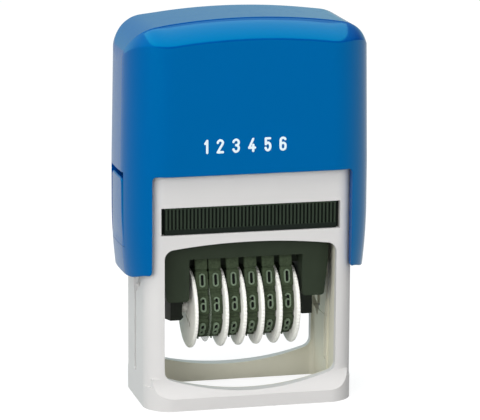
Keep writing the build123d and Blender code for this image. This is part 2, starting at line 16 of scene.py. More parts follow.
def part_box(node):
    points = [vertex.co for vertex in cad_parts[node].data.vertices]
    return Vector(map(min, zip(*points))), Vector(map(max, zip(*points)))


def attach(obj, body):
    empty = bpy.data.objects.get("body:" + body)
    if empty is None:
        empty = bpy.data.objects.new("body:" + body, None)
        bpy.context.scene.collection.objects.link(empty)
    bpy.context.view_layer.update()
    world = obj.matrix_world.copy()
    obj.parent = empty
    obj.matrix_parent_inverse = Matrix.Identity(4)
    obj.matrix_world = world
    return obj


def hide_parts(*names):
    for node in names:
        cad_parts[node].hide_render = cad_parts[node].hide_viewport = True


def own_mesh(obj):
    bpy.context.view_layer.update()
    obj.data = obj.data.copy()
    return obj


bl_info = {
    "name": "Number Stamp",
    "version": (1, 0, 0),
    "blender": (4, 5, 0),
    "location": "View3D > Sidebar > Number Stamp",
    "description": "Builds the pieces, finishes and stage of a self-inking number stamp",
    "category": "Object",
}

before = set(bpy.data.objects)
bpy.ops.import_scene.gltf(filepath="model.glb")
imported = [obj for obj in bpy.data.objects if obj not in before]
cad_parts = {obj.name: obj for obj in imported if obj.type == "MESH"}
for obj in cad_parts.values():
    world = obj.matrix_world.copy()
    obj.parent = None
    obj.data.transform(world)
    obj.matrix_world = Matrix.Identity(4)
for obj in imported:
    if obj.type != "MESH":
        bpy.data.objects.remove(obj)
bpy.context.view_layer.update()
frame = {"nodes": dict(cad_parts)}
MM = 0.001
SIDES = (("left", -1), ("right", 1))


# ---------------------------------------------------------------- settings
def length(label, text, default):
    """A length property that the user can change, given in metres."""
    return bpy.props.FloatProperty(
        name=label, description=text, default=default, unit="LENGTH", precision=5
    )


def colour(label, text, default):
    """A colour property that the user can change, in linear values."""
    return bpy.props.FloatVectorProperty(
        name=label, description=text, default=default, subtype="COLOR", size=3, min=0, max=1
    )


def factor(label, text, default, top=1.0):
    """A plain number property that the user can change."""
    return bpy.props.FloatProperty(
        name=label, description=text, default=default, min=0, max=top, subtype="FACTOR"
    )


class CapSettings(bpy.types.PropertyGroup):
    """Sizes of the handle cap and of what is printed on it."""

    roll_reach: length("Roll reach", "How far the rounded front edge reaches over the top", 0.0049)
    roll_drop: length("Roll drop", "How far the rounded front edge comes down", 0.0043)
    lip: length("Top lip", "How far the top stands above the rounded edge's end", 0.00022)
    groove: length("Crease depth", "Depth of the fine crease below the top's lip", 0.0001)
    wing_round: length("Wing rounding", "Rounding of the wings' lower outer edges", 0.00035)
    recess: length("Button recess", "How far a lock button lies under the cap's face", 0.00014)
    numeral_height: length("Numeral height", "Height of the numerals on the cap", 0.0032)
    numeral_stroke: length("Numeral stroke", "Width of the numerals' lines", 0.00056)


class BandSettings(bpy.types.PropertyGroup):
    """Sizes of the number bands and thumbwheels."""

    figure_height: length("Figure height", "Height of a figure on a band", 0.00315)
    figure_width: length("Figure width", "Width of a figure on a band", 0.0014)
    figure_stroke: length("Figure stroke", "Width of a figure's lines", 0.00038)
    figure_relief: length("Figure relief", "How far a figure stands out of its block", 0.00045)
    block_relief: length("Block relief", "How far a figure's block stands out of the band", 0.0002)
    pitch: length("Figure pitch", "Distance from figure to figure down the front", 0.00537)
    bead_depth: length("Bead depth", "Depth of the grooves between a thumbwheel's beads", 0.0001)


class FinishSettings(bpy.types.PropertyGroup):
    """Colours of the finishes."""

    cap: colour("Cap", "Glossy plastic of the handle cap", (0.0, 0.058, 0.288))
    frame: colour("Frame", "Matte plastic of the frame", (0.62, 0.61, 0.60))
    # Painted light: this cream tint on the frame's inside faces stands in for warm light bounced
    # inside the frame.
    frame_inside_bounce: colour("Frame inside", "Unpolished plastic inside the frame", (0.68, 0.66, 0.54))
    carriage: colour("Carriage", "Satin plastic of the carriage", (0.024, 0.034, 0.020))
    bracket: colour("Bracket", "Plastic of the shaft brackets", (0.012, 0.016, 0.011))
    cartridge: colour("Cartridge", "Plastic of the ink cartridge", (0.007, 0.011, 0.008))
    # Painted highlight: the outer faces of the cartridge's ribs get this lighter colour, as if
    # lit.
    rib: colour("Cartridge rib", "Outer faces of the cartridge's ribs", (0.026, 0.038, 0.025))
    wheel: colour("Thumbwheel", "Off-white plastic of the thumbwheels", (0.95, 0.94, 0.88))
    band: colour("Band", "Rubber of the number bands", (0.046, 0.064, 0.035))
    figure: colour("Figure", "Faces of the raised figures", (0.155, 0.205, 0.14))
    # Painted shadow: this near black lies on plates in the hollows inside the figures, where
    # shadow falls.
    inked: colour("Inked ground", "Ink left inside the figures", (0.004, 0.005, 0.004))
    numeral: colour("Numerals", "White numerals on the cap", (0.70, 0.80, 0.86))
    separator: colour("Separator", "Thin washer between two bands", (0.30, 0.36, 0.28))
    pad: colour("Ink pad", "Inked felt", (0.01, 0.01, 0.014))
    steel: colour("Steel", "Spring and pins", (0.55, 0.55, 0.54))


class StageSettings(bpy.types.PropertyGroup):
    """Light levels of the stage."""

    sky: factor("Sky", "Strength of the soft light from all round", 0.8, 4.0)
    top_light: factor("Top light", "Power of the light above, in watts", 6.2, 40.0)
    left_light: factor("Left light", "Power of the light on the left, in watts", 5.8, 20.0)
    front_light: factor("Front light", "Power of the light beside the camera, in watts", 3.6, 20.0)


GROUPS = {
    "stamp_cap": CapSettings,
    "stamp_band": BandSettings,
    "stamp_finish": FinishSettings,
    "stamp_stage": StageSettings,
}


# ---------------------------------------------------------------- shader maths
class Wire:
    """An output socket of a material, with arithmetic written as in Python."""

    def __init__(self, tree, socket=None):
        self.tree = tree
        self.socket = socket

    def node(self, kind, inputs=None, output=0, stops=None, **settings):
        """Any node: its settings and stops come first, then values or links of its sockets."""
        node = self.tree.nodes.new(kind)
        for key, value in settings.items():
            setattr(node, key, value)
        if stops:
            ramp = node.color_ramp.elements
            while len(ramp) < len(stops):
                ramp.new(0.5)
            for element, (place, shade) in zip(ramp, stops):
                element.position = place
                element.color = shade
        for key, value in (inputs or {}).items():
            if isinstance(value, Wire):
                self.tree.links.new(value.socket, node.inputs[key])
            else:
                node.inputs[key].default_value = value
        return Wire(self.tree, node.outputs[output])

    def math(self, operation, *values):
        return self.node("ShaderNodeMath", dict(enumerate(values)), operation=operation)

    def __add__(self, other):
        return self.math("ADD", self, other)

    __radd__ = __add__

    def __mul__(self, other):
        return self.math("MULTIPLY", self, other)

    __rmul__ = __mul__

    def __sub__(self, other):
        return self.math("SUBTRACT", self, other)

    def __rsub__(self, other):
        return self.math("SUBTRACT", other, self)

    def __abs__(self):
        return self.math("ABSOLUTE", self)

    def step(self, low, high):
        """Smooth rise from 0 at low to 1 at high."""
        inputs = {"Value": self, "From Min": low, "From Max": high}
        return self.node("ShaderNodeMapRange", inputs, interpolation_type="SMOOTHSTEP")

    def axis(self, index):
        """One coordinate of a vector."""
        return self.node("ShaderNodeSeparateXYZ", {0: self}, output=index)


class Finish:
    """A material with one Principled shader and the helpers that its pattern needs."""

    def __init__(self, name, roughness, specular=0.5, metallic=0.0):
        self.material = bpy.data.materials.new(name)
        self.material.use_nodes = True
        self.tree = self.material.node_tree
        self.shader = next(n for n in self.tree.nodes if n.type == "BSDF_PRINCIPLED")
        self.set("Roughness", roughness)
        self.set("Specular IOR Level", specular)
        self.set("Metallic", metallic)
        self.wire = Wire(self.tree)
        self.place = self.wire.node("ShaderNodeTexCoord", output="Object")

    def noise(self, scale, detail=3.0, roughness=0.55):
        """Cloudy pattern; scale counts its blobs per metre."""
        inputs = {"Vector": self.place, "Scale": scale, "Detail": detail, "Roughness": roughness}
        return self.wire.node("ShaderNodeTexNoise", inputs)

    def mix(self, share, first, second):
        """Blend of two colours."""
        inputs = {0: share, 6: solid(first), 7: solid(second)}
        return self.wire.node("ShaderNodeMix", inputs, output=2, data_type="RGBA")

    def mottled(self, shade, noise, amount):
        """A colour whose lightness drifts a little with a noise."""
        dark = [value * (1 - amount) for value in shade]
        light = [min(1.0, value * (1 + amount)) for value in shade]
        return self.mix(noise, dark, light)

    def set(self, key, value):
        """Link or set one socket of the shader."""
        if isinstance(value, Wire):
            self.tree.links.new(value.socket, self.shader.inputs[key])
        else:
            self.shader.inputs[key].default_value = value

    def bump(self, height, distance, strength=1.0):
        """Relief from a height pattern, distance in metres."""
        inputs = {"Height": height, "Distance": distance, "Strength": strength}
        self.set("Normal", self.wire.node("ShaderNodeBump", inputs))


def solid(shade):
    """A colour with its fourth value, or a wire as it is."""
    return shade if isinstance(shade, Wire) else (*shade, 1.0)


# ---------------------------------------------------------------- finishes
# Bounds of the frame's inside, where a cream tint is painted light for warm light bounced inside,
# and of the outer faces of the cartridge's ribs, which get a painted highlight.
BOUNCE_TINT_DEPTH = (0.0097, 0.0104)
BOUNCE_TINT_WIDTH = (0.0209, 0.0213)
BOUNCE_TINT_TOP = (0.0539, 0.0541)
LIT_RIB_REACH = (0.01095, 0.01123)
LIT_RIB_FOOT = (0.0406, 0.0409)


def cap_finish(shade):
    """Polished blue plastic: faint flow in the colour, orange peel and fine handling haze."""
    finish = Finish("cap_gloss", 0.16, specular=1.0)
    finish.set("Specular Tint", (0.0, 1.0, 1.0, 1.0))
    flow = finish.noise(90, 2.0)
    haze = finish.noise(420, 4.0, 0.6)
    finish.set("Base Color", finish.mottled(shade, flow, 0.03))
    finish.set("Roughness", 0.13 + haze.step(0.4, 0.75) * 0.07)
    finish.bump(finish.noise(700, 1.0), 0.000004, 0.5)
    return finish.material


def frame_finish(shade, inside):
    """Matte moulded plastic, warm grey outside and creamier on the inside faces, where the cream
    is painted light standing in for warm light bounced inside the frame.
    """
    finish = Finish("frame_matte", 0.5, specular=0.35)
    depth = abs(finish.place.axis(1))
    width = abs(finish.place.axis(0))
    height = finish.place.axis(2)
    # Painted light: inside the frame the colour turns creamy, for warm bounced light.
    bounce_tint_share = (1 - depth.step(*BOUNCE_TINT_DEPTH)) * (1 - width.step(*BOUNCE_TINT_WIDTH))
    bounce_tint_share = bounce_tint_share * (1 - height.step(*BOUNCE_TINT_TOP))
    cloud = finish.noise(160, 3.0)
    outer, inner = finish.mottled(shade, cloud, 0.02), finish.mottled(inside, cloud, 0.06)
    finish.set("Base Color", finish.mix(bounce_tint_share, outer, inner))
    grain = finish.noise(5200, 2.0)
    finish.set("Roughness", 0.44 + grain * 0.12)
    finish.bump(grain, 0.000006, 0.6)
    return finish.material


def dark_plastic(name, shade, sheen=0.42):
    """Dark moulded plastic with an eroded grain and faintly lighter worn patches."""
    finish = Finish(name, sheen, specular=0.2)
    cloud = finish.noise(240, 4.0)
    finish.set("Base Color", finish.mottled(shade, cloud, 0.16))
    grain = finish.noise(4200, 2.0)
    finish.set("Roughness", sheen + grain * 0.14)
    finish.bump(grain, 0.000008, 0.7)
    return finish.material


def cartridge_finish(shade, rib):
    """Near-black plastic whose outer rib faces above the lip get a dusty green grey as a painted
    highlight, where light catches them.
    """
    finish = Finish("cartridge_ribbed", 0.5, specular=0.15)
    reach = abs(finish.place.axis(1))
    height = finish.place.axis(2)
    # Painted highlight: only the outer rib faces above the lip are lighter; the lip and the
    # grooves stay near black.
    lit_rib_faces = reach.step(*LIT_RIB_REACH) * height.step(*LIT_RIB_FOOT)
    dust = finish.noise(600, 4.0)
    base = finish.mix(lit_rib_faces * (0.55 + dust * 0.9), shade, rib)
    finish.set("Base Color", base)
    finish.set("Roughness", 0.42 + dust * 0.2)
    finish.bump(finish.noise(3800, 2.0), 0.000006, 0.6)
    return finish.material


def wheel_finish(shade):
    """Off-white nylon, slightly waxy, with a fine moulding texture."""
    finish = Finish("wheel_nylon", 0.42, specular=0.35)
    cloud = finish.noise(500, 4.0, 0.65)
    finish.set("Base Color", finish.mottled(shade, cloud, 0.07))
    finish.set("Roughness", 0.38 + cloud * 0.16)
    finish.bump(finish.noise(3400, 3.0), 0.000009, 0.7)
    return finish.material


def rubber(name, shade, drift):
    """Moulded rubber with a dry, speckled surface."""
    finish = Finish(name, 0.6, specular=0.15)
    speck = finish.noise(1500, 5.0, 0.7)
    finish.set("Base Color", finish.mottled(shade, speck.step(0.25, 0.75), drift))
    finish.set("Roughness", 0.5 + speck * 0.25)
    finish.bump(finish.noise(5200, 3.0), 0.000010, 0.8)
    return finish.material


def washer_finish(shade):
    """Thin translucent washer, a little cloudy."""
    finish = Finish("separator_washer", 0.4, specular=0.3)
    finish.set("Base Color", finish.mottled(shade, finish.noise(900, 3.0), 0.1))
    finish.set("Alpha", 0.4)
    return finish.material


def ink_finish(shade):
    """White printing ink, a little uneven."""
    finish = Finish("numeral_ink", 0.35, specular=0.4)
    finish.set("Base Color", finish.mottled(shade, finish.noise(2500, 3.0), 0.02))
    finish.set("Roughness", 0.3 + finish.noise(1800, 2.0) * 0.15)
    return finish.material


def felt_finish(shade):
    """Felt soaked with dark ink."""
    finish = Finish("pad_felt", 0.85, specular=0.2)
    fibre = finish.noise(3800, 6.0, 0.75)
    finish.set("Base Color", finish.mottled(shade, fibre, 0.5))
    finish.set("Roughness", 0.75 + fibre * 0.2)
    finish.bump(fibre, 0.00006, 0.9)
    return finish.material


def steel_finish(shade):
    """Drawn steel with fine scratches along it."""
    finish = Finish("spring_steel", 0.3, metallic=1.0)
    scratch = finish.noise(2600, 5.0, 0.7)
    finish.set("Base Color", finish.mottled(shade, scratch, 0.08))
    finish.set("Roughness", 0.22 + scratch * 0.2)
    finish.bump(scratch, 0.000003, 0.4)
    return finish.material


def finish_named(name, make, *values):
    """The material of that name, made the first time it is asked for."""
    found = bpy.data.materials.get(name)
    return found if found else make(*values)


# ---------------------------------------------------------------- mesh helpers
MERGE = 0.0005


def points_at(x, y, z):
    """Points from coordinates that are spread to one shape."""
    return np.stack(np.broadcast_arrays(x, y, z), -1)


def quads(rows, columns, wrap=False):
    """Corner numbers of the faces of a rows by columns grid of points, row after row."""
    across = np.arange(columns if wrap else columns - 1)
    down = np.arange(rows - 1)[:, None]
    following = (across + 1) % columns
    first = down * columns + across
    second = down * columns + following
    return np.stack([first, second, second + columns, first + columns], -1).reshape(-1, 4)


class Shell:
    """Grids of points gathered into one mesh, whose shared borders are merged at the end."""

    def __init__(self):
        self.points = []
        self.faces = []
        self.count = 0

    def add(self, points, faces):
        """Take in a grid's points and the faces between them."""
        self.faces.append(faces + self.count)
        self.points.append(points.reshape(-1, 3))
        self.count += len(self.points[-1])

    def grid(self, points, wrap=False, skip=None):
        """Add a rows by columns grid; skip marks the faces that are left out."""
        faces = quads(*points.shape[:2], wrap)
        self.add(points, faces if skip is None else faces[~skip.reshape(-1)])

    def solid(self, points):
        """Add a wrapped grid that closes into a body of its own, turned so that it faces out."""
        faces = quads(*points.shape[:2], True)
        a, b, c, d = (points.reshape(-1, 3) - points.mean((0, 1)))[faces].transpose(1, 0, 2)
        volume = (a * (np.cross(b, c) + np.cross(c, d))).sum()
        self.add(points, faces if volume > 0 else faces[:, ::-1])

    def strip(self, first, second, wrap=False):
        """Add the faces between two rows of points."""
        self.grid(np.stack([first, second]), wrap)

    def mesh(self, name, turned=False):
        """One mesh in metres: borders merged, flat faces dropped, normals outward."""
        return made_mesh(name, np.concatenate(self.points), np.concatenate(self.faces), turned)


def made_mesh(name, points, faces, turned=False):
    """Mesh of four-cornered faces; turned says that its faces point outward already."""
    mesh = bpy.data.meshes.new(name)
    mesh.vertices.add(len(points))
    mesh.vertices.foreach_set("co", (points * MM).astype(np.float32).ravel())
    mesh.loops.add(faces.size)
    mesh.loops.foreach_set("vertex_index", faces.astype(np.int32).ravel())
    mesh.polygons.add(len(faces))
    mesh.polygons.foreach_set("loop_start", np.arange(0, faces.size, 4, dtype=np.int32))
    mesh.update(calc_edges=True)
    work = bmesh.new()
    work.from_mesh(mesh)
    bmesh.ops.remove_doubles(work, verts=work.verts, dist=MERGE * MM)
    bmesh.ops.dissolve_degenerate(work, edges=work.edges, dist=MERGE * MM)
    if not turned:
        bmesh.ops.recalc_face_normals(work, faces=work.faces)
    work.to_mesh(mesh)
    work.free()
    return mesh


def loop_mesh(name, loops, ends=False):
    """Mesh through closed loops of points; ends closes the first and last to their middles."""
    shell = Shell()
    shell.grid(loops, wrap=True)
    for loop in (loops[0], loops[-1]) if ends else ():
        shell.strip(loop, np.broadcast_to(loop.mean(0), loop.shape), wrap=True)
    return shell.mesh(name)


def placed(name, data):
    """A new object in the scene."""
    item = bpy.data.objects.new(name, data)
    bpy.context.scene.collection.objects.link(item)
    return item


def add_piece(name, mesh, material, body, replaced=(), sharp=32.0):
    """Put a mesh in the scene as a piece that rides on a body; sharp is in degrees."""
    mesh.polygons.foreach_set("use_smooth", np.ones(len(mesh.polygons), dtype=bool))
    mesh.set_sharp_from_angle(angle=math.radians(sharp))
    mesh.materials.clear()
    mesh.materials.append(material)
    piece = placed(name, mesh)
    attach(piece, body)
    if replaced:
        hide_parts(*replaced)
    return piece


def dress(material, *nodes):
    """Give CAD nodes their material."""
    for node in nodes:
        piece = frame["nodes"][node]
        piece.data.materials.clear()
        piece.data.materials.append(material)


# ---------------------------------------------------------------- cap form
CAP = {
    "wide": 28.15, "narrow": 27.62, "depth": 14.0, "plan_corner": 10.0,
    "top": 87.0, "sag": 2.75, "corner": 8.2,
    "bottom": 30.7, "taper": 0.75, "taper_top": 44.0, "straight_top": 54.0,
    "cut": 22.6, "cut_top": 53.0, "cut_corner": 0.8, "cut_round": 0.35,
    "channel_x": 24.1, "channel_y": 11.95, "channel_corner": 4.45, "channel_top": 58.0,
    "wall": 1.0, "ceiling": 85.0,
    "open_low": 36.3, "open_half": 6.5,
}
WING_DROP = 0.95
WING_DROP_START = 33.0
WING_DROP_SPAN = 35.0
COLUMN_COUNTS = (16, 9, 8, 20, 5, 8)
COLUMN_CROWDING = 1.6
ROUND_ROWS = 6
LOW_ROWS = 8
UPPER_ROWS = 25
CUT_ROWS = 5
CUT_SAMPLE = 52.4
WALL_ROWS = 26
WALL_START = 0.9
WALL_LEAST = 0.5
SIDE_TURN = math.radians(2.5)
RIM_GUESS = 80.0
RIM_MARGIN = 0.2
ROLL_POWER = 1.5
ROLL_END = math.radians(80)
ROLL_ROWS = 22
ROLL_AT_SIDE = 0.25
CREASE_FOOT = (0.1, 0.17)
CREASE_RISE = 0.24
CREASE_LEFT = 0.05
CREASE_END = 0.36
CROWN_ROWS = 43
CHANNEL_LEAD = 1.0
CHANNEL_SIDE = 3.6


def half_width(z, inset=0.0):
    """Half width of the cap at a height: a parabola up to the taper's end, then a slow draft."""
    below = np.clip(CAP["taper_top"] - z, 0, None) / (CAP["taper_top"] - CAP["bottom"])
    above = np.clip(z - CAP["straight_top"], 0, None)
    slope = (CAP["wide"] - CAP["narrow"]) / (CAP["top"] - CAP["sag"] - CAP["straight_top"])
    return CAP["wide"] - inset - CAP["taper"] * below**2 - slope * above


def crown_corner(inset=0.0):
    """Centre and radius of the arc that joins the crown's wide arc to the side."""
    narrow, sag, radius = CAP["narrow"] - inset, CAP["sag"], CAP["corner"] - inset
    crown = (narrow**2 + sag**2) / (2 * sag)
    crown_z = CAP["top"] - inset - crown
    x, z = narrow - radius, CAP["top"] - sag - radius
    for _ in range(8):
        x = half_width(z, inset) - radius
        z = crown_z + math.sqrt((crown - radius) ** 2 - x**2)
    return x, z, radius, crown, crown_z


def top_height(x, inset=0.0):
    """Height of the cap's outline over a distance from its middle: crown arc, then corner arc."""
    centre_x, centre_z, radius, crown, crown_z = crown_corner(inset)
    x = np.abs(x)
    arc = crown_z + np.sqrt(np.clip(crown**2 - x**2, 0, None))
    corner = centre_z + np.sqrt(np.clip(radius**2 - (x - centre_x) ** 2, 0, None))
    return np.where(x < centre_x * crown / (crown - radius), arc, corner)


def column_marks():
    """Places round a quarter of the plan: 0-1 front, 1-5 corner, 5-6 side, then mirrored.

    They crowd together behind the edge of the cut, where the wing's lower corner is round.
    """
    runs = [np.linspace(i, i + 1, n, endpoint=False) for i, n in enumerate(COLUMN_COUNTS)]
    runs[3] = 3 + (runs[3] - 3) ** COLUMN_CROWDING
    quarter = np.concatenate(runs + [[6.0]])
    half = np.concatenate([quarter, quarter[-2::-1]])
    front = np.concatenate([np.ones(len(quarter)), -np.ones(len(quarter) - 1)])
    mark = np.concatenate([half, half[-2:0:-1]])
    y_sign = np.concatenate([front, front[-2:0:-1]])
    x_sign = np.concatenate([np.ones(len(half)), -np.ones(len(half) - 2)])
    return mark, x_sign, y_sign


def side_arc(z, inset=0.0):
    """Middle of the plan's corner arc, and middle and radius of the side's wide arc."""
    corner = CAP["plan_corner"] - inset
    flat = CAP["depth"] - CAP["plan_corner"]
    radius = flat / math.sin(SIDE_TURN) + corner
    middle = half_width(z, inset) - radius
    return middle + (radius - corner) * math.cos(SIDE_TURN), middle, radius


def side_face(z, y):
    """Half width of the cap's outside at a height and a distance from the middle plane."""
    core, middle, radius = side_arc(z)
    corner = CAP["plan_corner"]
    over = np.clip(np.abs(y) - CAP["depth"] + corner, 0, corner)
    on_side = np.abs(y) < radius * math.sin(SIDE_TURN)
    on_corner = core + np.sqrt(corner**2 - over**2)
    return np.where(on_side, middle + np.sqrt(radius**2 - y**2), on_corner)


def cap_plan(mark, x_sign, y_sign, z, inset=0.0):
    """Rounded-rectangle plan at a height: points, outward normals and share of front facing.

    Along the front x grows with the mark; on the corner an angle grows between the edge of
    the cut, the button's opening and the side; the side is a wide arc down to the middle.
    """
    corner = CAP["plan_corner"] - inset
    core, side_middle, side_radius = side_arc(z, inset)
    flat = CAP["depth"] - CAP["plan_corner"]
    cut_start = np.arcsin(np.clip((CAP["cut"] - CAP["cut_corner"] - core) / corner, 0, 1))
    cut_end = np.arcsin(np.clip((CAP["cut"] - core) / corner, 0, 1))
    opening = math.acos((CAP["open_half"] - flat) / CAP["plan_corner"])
    angle = (
        np.clip(mark - 1, 0, 1) * cut_start
        + np.clip(mark - 2, 0, 1) * (cut_end - cut_start)
        + np.clip(mark - 3, 0, 1) * (opening - cut_end)
        + np.clip(mark - 4, 0, 1) * (math.pi / 2 - SIDE_TURN - opening)
        + np.clip(mark - 5, 0, 1) * SIDE_TURN
    )
    on_side = mark > 5
    radius = np.where(on_side, side_radius, corner)
    x = np.where(on_side, side_middle, core * np.clip(mark, 0, 1)) + radius * np.sin(angle)
    y = -(np.where(on_side, 0.0, flat) + radius * np.cos(angle))
    facing = np.cos(angle) ** 2
    return x * x_sign, y * y_sign, np.sin(angle) * x_sign, -np.cos(angle) * y_sign, facing


def cap_dome(mark, x_sign, y_sign, z_start, settings, inset=0.0, edge_round=0.0):
    """Wall, roll and crown of the cap as one grid from z_start to the middle of the top.

    The wall starts with a quarter circle and rises to the rim. The roll goes inward as it
    rises, as a quarter of a superellipse, nearly a slanted facet. It is cut short so that it
    meets the crown at an angle, and it shrinks from the front to the sides.
    It ends a lip below the crown, with a fine crease at the lip's foot. The crown follows
    the outline's height over x while the plan shrinks to one point.
    """
    reach, drop, groove, lip = settings
    shape = (mark, x_sign, y_sign)
    limit = CAP["narrow"] + RIM_MARGIN - inset
    rim = np.full(mark.shape, RIM_GUESS)
    for _ in range(12):
        x, y, nx, ny, facing = cap_plan(*shape, rim, inset)
        fall = ROLL_AT_SIDE + (drop - ROLL_AT_SIDE) * facing
        rim = top_height(np.minimum(np.abs(x), limit), inset) - fall
    rise = np.linspace(0, 1, WALL_ROWS)[:, None]
    start = np.minimum(z_start + WALL_START, rim - WALL_LEAST)
    turn = np.linspace(0, math.pi / 2, CUT_ROWS)[:, None]
    z = np.concatenate([z_start + edge_round * (1 - np.cos(turn)), start + (rim - start) * rise])
    tuck = np.zeros(z.shape)
    tuck[:CUT_ROWS] = edge_round * (1 - np.sin(turn))
    x, y, nx, ny, facing = cap_plan(*shape, z, inset)
    rows = [np.stack([x - nx * tuck, y - ny * tuck, z], -1)]
    x, y, nx, ny, facing = cap_plan(*shape, rim, inset)
    turn = np.linspace(0, ROLL_END, ROLL_ROWS + 1)[1:, None]
    inward = (1 - np.cos(turn) ** ROLL_POWER) / (1 - math.cos(ROLL_END) ** ROLL_POWER)
    fall = 1 - (np.sin(turn) / math.sin(ROLL_END)) ** ROLL_POWER
    edge = (ROLL_AT_SIDE + (reach - ROLL_AT_SIDE) * facing)[None]
    inward = inward * edge
    fall = fall * (ROLL_AT_SIDE + (drop - ROLL_AT_SIDE) * facing)
    rx, ry = x - nx * inward, y - ny * inward
    sunk = lip * facing * (turn / ROLL_END) ** 2
    rows.append(np.stack([rx, ry, top_height(rx, inset) - fall - sunk], -1))
    crease = [(step, lip + groove) for step in CREASE_FOOT]
    for step, depth in (*crease, (CREASE_RISE, CREASE_LEFT), (CREASE_END, 0.0)):
        gx, gy = x - nx * (edge + step), y - ny * (edge + step)
        rows.append(np.stack([gx, gy, top_height(gx, inset) - depth * facing], -1))
    shrink = np.cos(np.linspace(0, math.pi / 2, CROWN_ROWS + 1))[1:, None]
    cx, cy = gx * shrink, gy * shrink
    rows.append(np.stack([cx, cy, top_height(cx, inset)], -1))
    return np.concatenate(rows)


def channel_plan(mark, x_sign, y_sign):
    """Plan of the channel inside the cap, a rounded rectangle walked by its length."""
    half_x, half_y, corner = CAP["channel_x"], CAP["channel_y"], CAP["channel_corner"]
    flat_x, flat_y = half_x - corner, half_y - corner
    turn = corner * math.pi / 2
    at_cut = [flat_x + corner * math.asin((value - flat_x) / corner)
              for value in (CAP["cut"] - CAP["cut_corner"], CAP["cut"])]
    side = flat_x + turn
    stops = [0, flat_x - CHANNEL_LEAD, *at_cut, side + flat_y - CAP["open_half"],
             side + flat_y - CHANNEL_SIDE, side + flat_y]
    walked = np.interp(mark, range(7), stops)
    angle = np.clip((walked - flat_x) / corner, 0, math.pi / 2)
    x = np.minimum(walked, flat_x) + corner * np.sin(angle)
    y = -(flat_y - np.clip(walked - side, 0, None) + corner * np.cos(angle))
    return x * x_sign, y * y_sign


def wing_rows(mark, outer_x, outer_y, wing_round):
    """Heights of a wing's rows, and how far each row is drawn in at the rounded foot.

    The foot drops smoothly from the front round the plan's corner to the side, and turns up
    as a quarter circle at the edge of the cut. The rows then rise to the button's opening
    and on to the top of the cut.
    """
    core = CAP["wide"] - CAP["plan_corner"]
    over_y = np.abs(outer_y) - CAP["depth"] + CAP["plan_corner"]
    angle = np.degrees(np.arctan2(np.abs(outer_x) - core, over_y))
    share = np.clip((np.where(mark > 5, 90.0, angle) - WING_DROP_START) / WING_DROP_SPAN, 0, 1)
    foot = CAP["bottom"] - WING_DROP * share**2 * (3 - 2 * share)
    corner = CAP["cut_corner"]
    reach = np.clip(corner - (np.abs(outer_x) - CAP["cut"]), 0, corner)
    foot = foot + corner - np.sqrt(corner**2 - reach**2)
    turn = np.linspace(0, math.pi / 2, ROUND_ROWS)[:, None]
    lower = foot + wing_round * (1 - np.cos(turn))
    middle = lower[-1] + (CAP["open_low"] - lower[-1]) * np.linspace(0, 1, LOW_ROWS + 1)[1:, None]
    top = CAP["cut_top"] - CAP["cut_corner"]
    upper = np.linspace(CAP["open_low"], top, UPPER_ROWS + 1)[1:, None] + np.zeros(mark.shape)
    tuck = np.zeros((ROUND_ROWS + LOW_ROWS + UPPER_ROWS, 1))
    tuck[:ROUND_ROWS] = wing_round * (1 - np.sin(turn))
    return np.concatenate([lower, middle, upper]), tuck


